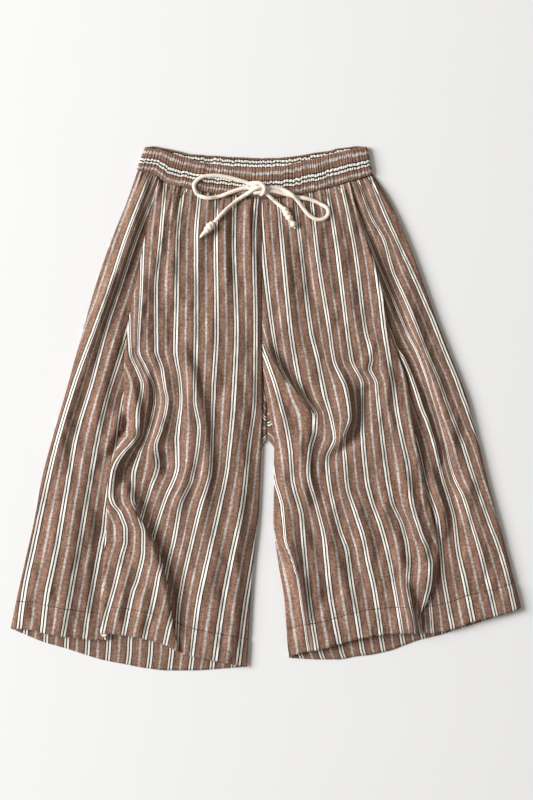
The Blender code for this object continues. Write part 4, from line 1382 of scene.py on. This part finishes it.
    def shape(self) -> None:
        """Works out every point of the panel and its place on the striped cloth."""
        folds = self.leg.overlaps
        self.measure_lifts()
        self.fold_shares = []
        ends = []
        for i, overlap in enumerate(folds):
            t = self.fold_times(i)
            part = t if i == len(folds) - 1 else np.zeros_like(t)
            shares = self.share_of(self.fold_line(overlap, t), part)
            self.fold_shares.append(shares)
            ends += [shares[:, :1], shares[:, -1:]]
        ends = [np.zeros_like(ends[0]), *ends, np.ones_like(ends[0])]
        stretches = []
        for segment in range(len(folds) + 1):
            even = np.linspace(0, 1, self.leg.columns[2 * segment] + 2)[None, :]
            first, last = segment == 0, segment == len(folds)
            if last:
                even = 1 - (1 - even) ** 1.3
            keep = slice(None if first else 1, None if last else -1)
            across = mix(ends[2 * segment], ends[2 * segment + 1], even[:, keep])
            if first and self.leg.wedge:
                across = self.part_at_wedge(ends[1], across.shape[1])
            x, y = self.place(across, np.full_like(across, float(last)))
            stretches.append((x, y, self.level(x, y, across, segment), self.count(x, y, segment)))
            if not last:
                stretches.append(self.through_fold(segment))
        x, y, z, u = (np.concatenate(part, axis=1) for part in zip(*stretches))
        self.points = np.stack([x, y, z], axis=2)
        self.uv = np.stack([u, y / REPEAT], axis=2)

    def part_at_wedge(self, end: np.ndarray, columns: int) -> np.ndarray:
        """The innermost stretch's columns, two of which run close by each side of the wedge's line.

        Args:
            end: Where the stretch ends, in shares of the way to the side seam.
            columns: How many columns it has.

        Returns:
            The columns' shares, in each row.
        """
        line = self.leg.wedge.line
        flat = np.zeros((1, 1))
        limit = self.share_of(lambda y: steady([p[1] for p in line], [p[0] for p in line], y), flat)
        limit = np.maximum(limit, 0.012)
        inner = columns // 3
        gap = 0.0006
        before = (limit - gap) * np.linspace(0, 1, inner)[None, :]
        beyond = mix(limit + gap, end, np.linspace(0, 1, columns - inner + 1)[None, :-1])
        return np.concatenate([before, beyond], axis=1)

    def build(self, material: bpy.types.Material) -> bpy.types.Object:
        """Makes the panel's mesh.

        Args:
            material: The striped linen.

        Returns:
            The panel.
        """
        self.shape()
        turn = slice(None, None, -1) if self.leg.way > 0 else slice(None)
        name = f"front_{self.leg.name}_cloth"
        return thicken(cloth_mesh(name, self.points[:, turn], self.uv[:, turn], material), CLOTH)

    def stitch_line(self) -> list[np.ndarray]:
        """The hem's stitching: a run of points for each stretch that shows."""
        row = int(np.argmin(abs(self.steps[:, 0] - (1 - HEM_DEPTH / PANEL_LENGTH))))
        runs, start = [], 0
        for i, columns in enumerate(self.leg.columns):
            width = columns + 1 if i in (0, len(self.leg.columns) - 1) else columns
            if i % 2 == 0:
                runs.append(self.points[row, start : start + width])
            start += width
        return runs


@dataclass
class BackPanel:
    """The back of one leg, flat on the surface, with its hem showing under the front's."""

    leg: Leg
    rows: int = 150
    columns: int = 90
    level: float = 0.75
    points: np.ndarray = field(init=False)

    def build(self, material: bpy.types.Material) -> bpy.types.Object:
        """Makes the panel's mesh.

        Args:
            material: The striped linen.

        Returns:
            The panel.
        """
        leg = self.leg
        corner = BAND_FOOT_BACK[-1][0] if leg.way > 0 else BAND_FOOT_BACK[0][0]
        hem_inner, hem_outer = (leg.hem_back[0][0], leg.hem_back[-1][0])[:: leg.way]
        across = np.linspace(0, 1, self.columns)[None, :]
        step = np.linspace(0, 1, self.rows)[:, None]
        top = along(BAND_FOOT_BACK, mix(leg.back_inner[0][0], corner, across)) - 0.4
        foot = along(leg.hem_back, mix(hem_inner, hem_outer, across))
        y = mix(top, foot, step)
        inner = steady([p[1] for p in leg.back_inner], [p[0] for p in leg.back_inner], y)
        x = mix(inner, along(leg.edges, y, 1), across)
        # Towards the hem it comes down on to the surface, and at the crotch it rises to its seam's groove.
        slope = 1.8 * ease(step, 0.82, 0.92) * (1 - ease(step, 0.93, 1.0)) * np.sin(math.pi * across) ** 0.5
        crotch = ease(y, -75, -45) * (1 - ease(y, 40, 90))
        shoulder = 2.6 * crotch * np.exp(-(((x + 1.0) / 1.7) ** 2)) * (leg.way < 0)
        z = self.level + slope + shoulder
        line = leg.back_grain.line
        u = leg.back_grain.count + leg.way * (x - steady([p[1] for p in line], [p[0] for p in line], y)) / (0.955 * REPEAT)
        # There its curved edge is cut across the grain.
        u = u + 1.15 * crotch * np.exp(-(((x - 1.4) / 9) ** 2)) * (y + 40) / REPEAT
        self.points = np.stack([x, y, z], axis=2)
        uv = np.stack([u, y / REPEAT], axis=2)
        turn = slice(None, None, -1) if leg.way > 0 else slice(None)
        return thicken(cloth_mesh(f"back_{leg.name}_cloth", self.points[:, turn], uv[:, turn], material), CLOTH)


@dataclass
class Waistband:
    """The casing round wide elastic: one flattened ring, drawn up into fine uneven gathers."""

    gathers: int = 82
    columns_per_gather: int = 9
    section: int = 40
    wall: float = 3.4
    front_level: float = 5.6
    back_level: float = 2.3
    puff: float = 0.62
    depth: float = 39.0
    cloth_per_gather: float = 5.6

    def ring(self, rng: np.random.Generator) -> tuple[np.ndarray, ...]:
        """The band's foot and top all round: along the front, round an end, along the back.

        Args:
            rng: Where the gathers' widths come from.

        Returns:
            x and y of the foot, x and y of the top, the level and the direction outwards.
        """
        side, turn = self.gathers * self.columns_per_gather, 3 * self.columns_per_gather
        middle, half = (self.front_level + self.back_level) / 2, (self.front_level - self.back_level) / 2
        radius = half + 2.0
        parts = []
        for front in (True, False):
            way = 1 if front else -1
            foot_edge, top_edge = (WAIST_SEAM, BAND_TOP_FRONT) if front else (BAND_FOOT_BACK, BAND_TOP_BACK)
            widths = rng.uniform(0.6, 1.5, self.gathers)
            drawn = np.concatenate([[0], np.cumsum(widths)]) / widths.sum()
            share = np.interp(np.linspace(0, self.gathers, side), np.arange(self.gathers + 1), drawn)[::way]
            angle = np.linspace(0, math.pi, turn + 2)[1:-1]
            ends = []
            for edge in (foot_edge, top_edge):
                x = mix(edge[0][0] + radius, edge[-1][0] - radius, share)
                end_x, end_y = edge[-1 if front else 0]
                start = end_x - way * radius
                x_round = start + way * radius * np.sin(angle)
                y_round = mix(along(edge, np.array([start]))[0], end_y, np.sin(angle))
                ends += [np.concatenate([x, x_round]), np.concatenate([along(edge, x), y_round])]
            level = np.concatenate([np.full(side, middle + way * half), middle + way * half * np.cos(angle)])
            out_x = np.concatenate([np.zeros(side), way * np.sin(angle)])
            out_z = np.concatenate([np.full(side, float(way)), way * np.cos(angle)])
            parts.append((*ends, level, out_x, out_z))
        return tuple(np.concatenate(values) for values in zip(*parts))

    def build(self, material: bpy.types.Material) -> bpy.types.Object:
        """Makes the band's mesh.

        Args:
            material: The striped linen.

        Returns:
            The band.
        """
        rng = np.random.default_rng(8)
        foot_x, foot_y, top_x, top_y, level, out_x, out_z = self.ring(rng)
        total = len(foot_x)
        at = np.arange(total) / self.columns_per_gather

        def uneven(low: float, high: float, spread: float = 1.0) -> np.ndarray:
            """A value of its own for each few gathers, running softly into the next."""
            count = int(total / self.columns_per_gather / spread)
            values = rng.uniform(low, high, count)
            return np.interp(at / spread, np.arange(count + 1), np.append(values, values[0]))

        lobe = 2 * np.abs(np.sin(math.pi * at)) ** 0.65 - 1  # round puffs with sharp grooves between them
        fullness, second = uneven(0.45, 1.3), uneven(-1.0, 1.0, 0.5)
        lump, slant, bow = uneven(-0.7, 0.7, 3.1), uneven(-1.6, 1.6, 2.0), uneven(-1.0, 1.0, 1.7)
        merge, merge_at = uneven(0.0, 0.9), uneven(0.0, 6.0)
        ragged = uneven(-0.034, 0.034, 0.8) + 0.012 * lobe + uneven(-0.02, 0.02, 4.0)
        scallop = 0.42 * fullness * lobe + uneven(-0.5, 0.6, 2.3)

        around = np.linspace(0, 2 * math.pi, self.section + 1)
        up = 0.5 - 0.5 * np.cos(around)
        up[-1] = 0.0
        # The wall is full over its height and rounds off in the last few millimetres.
        out = np.sign(np.sin(around).round(6)) * np.sqrt(1 - np.abs(2 * up - 1) ** 8)
        # Depth below the top edge, less than nothing on the inner face.
        depth = np.where(around <= math.pi, 1 - up, up - 1) * self.depth
        points = np.zeros((self.section + 1, total + 1, 3))
        uv = np.zeros((self.section + 1, total + 1, 2))
        for row, share in enumerate(up):
            pinched = 1 - merge * (0.5 + 0.5 * np.sin(merge_at + 5.0 * share))
            swell = self.puff * fullness * pinched * lobe + 0.3 * second * np.sin(3.0 * share + merge_at) + lump * 0.5
            puff = out[row] * (self.wall / 2 + swell)
            lean = slant * (share - 0.5) + bow * math.sin(math.pi * share)
            tips = ease(share, 0.86, 1.0) - 0.7 * ease(1 - share, 0.86, 1.0)
            x = mix(foot_x, top_x, share) + out_x * puff + np.abs(out_z) * lean
            y = mix(foot_y, top_y, share) + scallop * tips
            points[row, :total] = np.stack([x, y, level + out_z * puff], axis=1)
            uv[row, :total, 0] = along(BAND_STRIPES, depth[row]) + ragged
            uv[row, :total, 1] = at * self.cloth_per_gather / REPEAT
        points[:, total] = points[:, 0]
        uv[:, total, 0] = uv[:, 0, 0]
        uv[:, total, 1] = total / self.columns_per_gather * self.cloth_per_gather / REPEAT
        points[:, :, 2] = np.maximum(points[:, :, 2], 0.05)
        return sew_closed(cloth_mesh("waistband_cloth", points, uv, material))


# ------------------------------------------------------------------ the drawstring


@dataclass
class ClothTop:
    """Finds how high the finished cloth is, so that what lies on it can be put there."""

    trees: list[BVHTree] = field(default_factory=list)

    def add(self, piece: bpy.types.Object) -> None:
        """Takes in one more piece of cloth."""
        mesh = piece.data
        self.trees.append(
            BVHTree.FromPolygons([v.co for v in mesh.vertices], [tuple(p.vertices) for p in mesh.polygons])
        )

    def at(self, x: float, y: float, reach: float = 0.0) -> float:
        """The highest cloth within a distance of a place, in mm.

        Args:
            x: The place's x, in mm.
            y: The place's y, in mm.
            reach: How far round it to look, in mm.

        Returns:
            The height, in mm.
        """
        around = [(0.0, 0.0)]
        if reach:
            around += [(reach * math.cos(a), reach * math.sin(a)) for a in np.linspace(0, 2 * math.pi, 9)[:-1]]
        best = 0.0
        for dx, dy in around:
            for tree in self.trees:
                hit = tree.ray_cast(Vector(((x + dx) * MM, (y + dy) * MM, 0.2)), Vector((0, 0, -1)))[0]
                if hit is not None:
                    best = max(best, hit.z / MM)
        return best


@dataclass
class Drawstring:
    """The tied cotton cord: two loops, two tails, the bow's knot and a knot at each end."""

    cloth: ClothTop
    material: bpy.types.Material
    around: int = 20
    step: float = 1.1
    drawn: float = 4.9  # across the cord where it is drawn tight, a little less than its full size

    def route(self, table: Sequence[tuple[float, float, float]]) -> np.ndarray:
        """The centreline of a stretch of cord, lying on the cloth.

        Args:
            table: The stretch's points: x, y and lift, in mm.

        Returns:
            Points about a millimetre apart, in mm.
        """
        plan = np.array(table, float)
        run = np.concatenate([[0], np.cumsum(np.linalg.norm(np.diff(plan[:, :2], axis=0), axis=1))])
        distance = np.linspace(0, run[-1], max(int(run[-1] / self.step), 8))
        slopes = np.gradient(plan, run, axis=0)
        low = np.clip(np.searchsorted(run, distance) - 1, 0, len(run) - 2)
        span = (run[low + 1] - run[low])[:, None]
        t = ((distance - run[low]) / span[:, 0])[:, None]
        curve = (
            plan[low] * (1 + 2 * t) * (1 - t) ** 2 + slopes[low] * span * t * (1 - t) ** 2
            + plan[low + 1] * t * t * (3 - 2 * t) + slopes[low + 1] * span * t * t * (t - 1)
        )
        radius = self.drawn / 2
        under = np.array([self.cloth.at(x, y, radius * 0.4) for x, y, _ in curve])
        reach = 4
        widest = np.array([under[max(i - reach, 0) : i + reach + 1].max() for i in range(len(under))])
        kernel = np.hanning(2 * reach + 3)[1:-1]
        padded = np.pad(widest, reach, mode="edge")
        calm = np.convolve(padded, kernel / kernel.sum(), mode="valid")
        return np.column_stack([curve[:, 0], curve[:, 1], calm + radius * 0.8 + np.maximum(curve[:, 2], 0)])

    def sweep(self, name: str, path: np.ndarray, radius: Callable[[np.ndarray, np.ndarray], np.ndarray]) -> bpy.types.Object:
        """A closed tube along a path.

        Args:
            name: The piece's name.
            path: The centreline, in mm.
            radius: The tube's radius at a distance along it and an angle round it, in mm.

        Returns:
            The tube.
        """
        tangent = np.gradient(path, axis=0)
        tangent /= np.linalg.norm(tangent, axis=1, keepdims=True)
        side = np.cross(tangent, [0, 0, 1.0])
        side /= np.maximum(np.linalg.norm(side, axis=1, keepdims=True), 1e-6)
        up = np.cross(side, tangent)
        run = np.concatenate([[0], np.cumsum(np.linalg.norm(np.diff(path, axis=0), axis=1))])
        angle = np.linspace(0, 2 * math.pi, self.around + 1)
        reach = radius(run[:, None], angle[None, :])
        rings = path[:, None] + reach[..., None] * (
            np.cos(angle)[None, :, None] * side[:, None] + np.sin(angle)[None, :, None] * up[:, None]
        )
        rings[0] = path[0]
        rings[-1] = path[-1]
        uv = np.stack(
            [np.tile(angle / (2 * math.pi) * 3, (len(path), 1)), np.tile(run[:, None] / CORD_DIAMETER, (1, len(angle)))],
            axis=2,
        )
        return sew_closed(cloth_mesh(name, rings, uv, self.material))

    def cord_radius(self, length: float) -> Callable[[np.ndarray, np.ndarray], np.ndarray]:
        """The radius of a stretch of cord, slightly flattened and grooved, with rounded ends.

        Args:
            length: The stretch's length, in mm.

        Returns:
            The radius at a distance and an angle.
        """

        def radius(run: np.ndarray, angle: np.ndarray) -> np.ndarray:
            end = np.sqrt(np.clip(np.minimum(run, length - run) / 1.6, 0.02, 1))
            groove = np.exp(-(((angle - 1.95 - 0.2 * np.sin(run / 19)) / 0.2) ** 2))
            groove = groove + np.exp(-(((angle - 0.95 + 0.2 * np.sin(run / 23)) / 0.16) ** 2)) * 0.7
            slack = 1 + 0.025 * np.sin(run / 5.3) + 0.015 * np.sin(run / 2.1 + 1)
            return self.drawn / 2 * end * (1 + 0.05 * np.cos(2 * angle) - 0.11 * groove) * slack

        return radius

    def stretch(self, name: str, table: Sequence[tuple[float, float, float]], node: str) -> np.ndarray:
        """Args:
            name: The piece's name.
            table: Its route.
            node: The CAD node that it stands for.

        Returns:
            Its centreline, in mm.
        """
        path = self.route(table)
        length = float(np.linalg.norm(np.diff(path, axis=0), axis=1).sum())
        piece = settle(self.sweep(name, path, self.cord_radius(length)), "cord", node)
        return path

    def end_knot(self, name: str, path: np.ndarray, knot: EndKnot) -> bpy.types.Object:
        """A knot turned round the end of a tail.

        Args:
            name: The piece's name.
            path: The tail's centreline.
            knot: Its form.

        Returns:
            The knot.
        """
        nearest = int(np.argmin(np.hypot(path[:, 0] - knot.start[0], path[:, 1] - knot.start[1])))
        base = path[nearest]
        line = path[-1] - base
        line[2] = 0
        line /= np.linalg.norm(line)
        length = knot.profile[-1][0]
        run = np.linspace(0, length, 84)
        centre = base + line * run[:, None]
        tops = np.array([self.cloth.at(p[0], p[1], 3.0) for p in centre])
        centre[:, 2] = (tops.max() + tops) / 2 + along(knot.profile, run) * 0.85

        def radius(distance: np.ndarray, angle: np.ndarray) -> np.ndarray:
            turn = math.pi * knot.wraps * distance / knot.wrapped + 0.55 * np.cos(angle - 0.6)
            round_wrap = 0.74 + 0.3 * np.abs(np.sin(turn)) ** 0.5
            wrap = mix(round_wrap, 1.0, ease(distance, knot.wrapped - 0.5, knot.wrapped + 1.5))
            return along(knot.profile, distance) * wrap * (1 + 0.04 * np.sin(3 * angle + distance))

        return settle(self.sweep(name, centre, radius), "cord", knot.node)

    def bow_knot(self) -> bpy.types.Object:
        """The bow's knot: a wrap over the top and down the right, and the strands that cross in it."""
        floor = self.cloth.at(-10, 299, 9)
        made = []
        for i, strand in enumerate(BOW_STRANDS):
            plan = np.array(strand, float)
            run = np.concatenate([[0], np.cumsum(np.linalg.norm(np.diff(plan, axis=0), axis=1))])
            distance = np.linspace(0, run[-1], 56)
            path = np.column_stack([steady(run, plan[:, k], distance) for k in range(3)])
            path[:, 2] += floor - 0.6
            made.append(self.sweep(f"bow_strand_{i}", path, self.cord_radius(float(run[-1]))))
        bpy.ops.object.select_all(action="DESELECT")
        for piece in made:
            piece.select_set(True)
        bpy.context.view_layer.objects.active = made[0]
        bpy.ops.object.join()
        knot = bpy.context.object
        knot.name = knot.data.name = "bow_knot_wraps"
        return settle(knot, "cord", "bow_knot")

    def build(self) -> None:
        """Makes every stretch of the cord and its knots."""
        knot = self.bow_knot()
        left_end = self.end_knot("tail_knot_left_wraps", self.route(TAIL_LEFT), LEFT_END_KNOT)
        right_end = self.end_knot("tail_knot_right_wraps", self.route(TAIL_RIGHT), RIGHT_END_KNOT)
        self.stretch("bow_loop_left_cord", LOOP_LEFT, "bow_loop_left")
        self.stretch("bow_loop_right_cord", LOOP_RIGHT, "bow_loop_right")
        self.stretch("tail_left_cord", TAIL_LEFT, "cord_tail_left")
        self.stretch("tail_right_cord", TAIL_RIGHT, "cord_tail_right")


# ------------------------------------------------------------------ the sewing


@dataclass
class Sewing:
    """Lines of stitches, each one a short rounded bar of thread that dips at its ends."""

    material: bpy.types.Material
    length: float = 2.8
    gap: float = 1.5
    width: float = 0.7

    def bars(self, name: str, runs: Sequence[np.ndarray], lift: float) -> bpy.types.Object:
        """Stitches along runs of points.

        Args:
            name: The piece's name.
            runs: Runs of points on the cloth, in mm.
            lift: How far the thread lies over those points, in mm.

        Returns:
            The stitches, as one piece.
        """
        bpy.ops.object.select_all(action="DESELECT")
        bpy.ops.mesh.primitive_uv_sphere_add(segments=6, ring_count=5, radius=0.5)
        bar = bpy.context.object
        shape = np.array([v.co for v in bar.data.vertices])
        faces = [list(p.vertices) for p in bar.data.polygons]
        bpy.data.objects.remove(bar, do_unlink=True)
        points, polygons = [], []
        for run in runs:
            length = np.concatenate([[0], np.cumsum(np.linalg.norm(np.diff(run, axis=0), axis=1))])
            places = np.arange(0.8, length[-1] - self.length, self.length + self.gap)
            for at in places:
                ends = [
                    np.array([np.interp(d, length, run[:, k]) for k in range(3)]) for d in (at, at + self.length)
                ]
                middle = (ends[0] + ends[1]) / 2 + [0, 0, lift]
                ahead = (ends[1] - ends[0]) / np.linalg.norm(ends[1] - ends[0])
                side = np.cross([0, 0, 1.0], ahead)
                side /= np.linalg.norm(side)
                up = np.cross(ahead, side)
                start = sum(len(p) for p in points)
                points.append(
                    middle + shape[:, :1] * self.length * ahead + shape[:, 1:2] * self.width * 2 * side
                    + shape[:, 2:3] * self.width * 2 * up
                )
                polygons += [[v + start for v in face] for face in faces]
        mesh = bpy.data.meshes.new(name)
        mesh.from_pydata((np.concatenate(points) * MM).tolist(), [], polygons)
        mesh.materials.append(self.material)
        mesh.shade_smooth()
        piece = bpy.data.objects.new(name, mesh)
        bpy.context.collection.objects.link(piece)
        return settle(piece, "linen")


# ------------------------------------------------------------------ the studio


@dataclass
class Studio:
    """A plain pale floor, soft light from the upper left and a camera straight above."""

    camera_height: float = 3.2
    frame_height: float = 1.088
    centre: tuple[float, float] = (0.0007, 0.0116)

    def floor(self) -> None:
        """The board under the shorts."""
        bpy.ops.object.select_all(action="DESELECT")
        bpy.ops.mesh.primitive_grid_add(x_subdivisions=8, y_subdivisions=8, size=6, location=(0, 0, -0.0002))
        board = bpy.context.object
        board.name = "floor"
        board.data.materials.append(PaleBoard().material())

    def light(self, name: str, place: tuple[float, float, float], size: float, power: float) -> None:
        """A soft square light, turned to the shorts.

        Args:
            name: The light's name.
            place: Where it stands, in metres.
            size: Its side, in metres.
            power: In watts.
        """
        data = bpy.data.lights.new(name, "AREA")
        data.shape = "SQUARE"
        data.size = size
        data.energy = power
        lamp = bpy.data.objects.new(name, data)
        lamp.location = place
        lamp.rotation_euler = (-Vector(place)).to_track_quat("-Z", "Y").to_euler()
        bpy.context.collection.objects.link(lamp)

    def camera(self) -> None:
        """The camera, with the photograph's frame of 533 by 800 pixels."""
        data = bpy.data.cameras.new("camera")
        data.sensor_fit = "VERTICAL"
        data.sensor_height = 24.0
        data.lens = data.sensor_height * self.camera_height / self.frame_height
        camera = bpy.data.objects.new("camera", data)
        camera.location = (*self.centre, self.camera_height)
        bpy.context.collection.objects.link(camera)
        bpy.context.scene.camera = camera

    def build(self) -> None:
        """Sets up the floor, the lights, the camera and the plain view of colours."""
        self.floor()
        self.light("window", (-6.8, 1.1, 3.95), 4.4, 965)
        world = bpy.data.worlds.new("room")
        world.use_nodes = True
        world.node_tree.nodes["Background"].inputs[0].default_value = linear("FFF8EE")
        world.node_tree.nodes["Background"].inputs[1].default_value = 0.27
        bpy.context.scene.world = world
        bpy.context.scene.view_settings.view_transform = "Standard"
        bpy.context.scene.view_settings.look = "None"
        self.camera()


# ------------------------------------------------------------------ the whole


def main() -> None:
    """Builds the shorts piece by piece, and then the studio."""
    logging.basicConfig(level=logging.INFO, format="%(name)s: %(message)s")
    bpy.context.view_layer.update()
    linen = StripedLinen().material()
    cord = CottonCord().material()
    thread = SewingThread().material()
    top = ClothTop()
    sewing = Sewing(thread)

    band = settle(Waistband().build(linen), "linen", "waistband")
    top.add(band)
    for leg in (LEFT_LEG, RIGHT_LEG):
        back_maker = BackPanel(leg)
        back = settle(back_maker.build(linen), "linen", f"back_{leg.name}")
        front_maker = FrontPanel(leg)
        front = settle(front_maker.build(linen), "linen", f"front_{leg.name}")
        top.add(front)
        hem = sewing.bars(f"hem_stitches_{leg.name}", front_maker.stitch_line(), CLOTH / 2 + 0.05)
    Drawstring(top, cord).build()
    Studio().build()


if __name__ == "__main__":
    main()
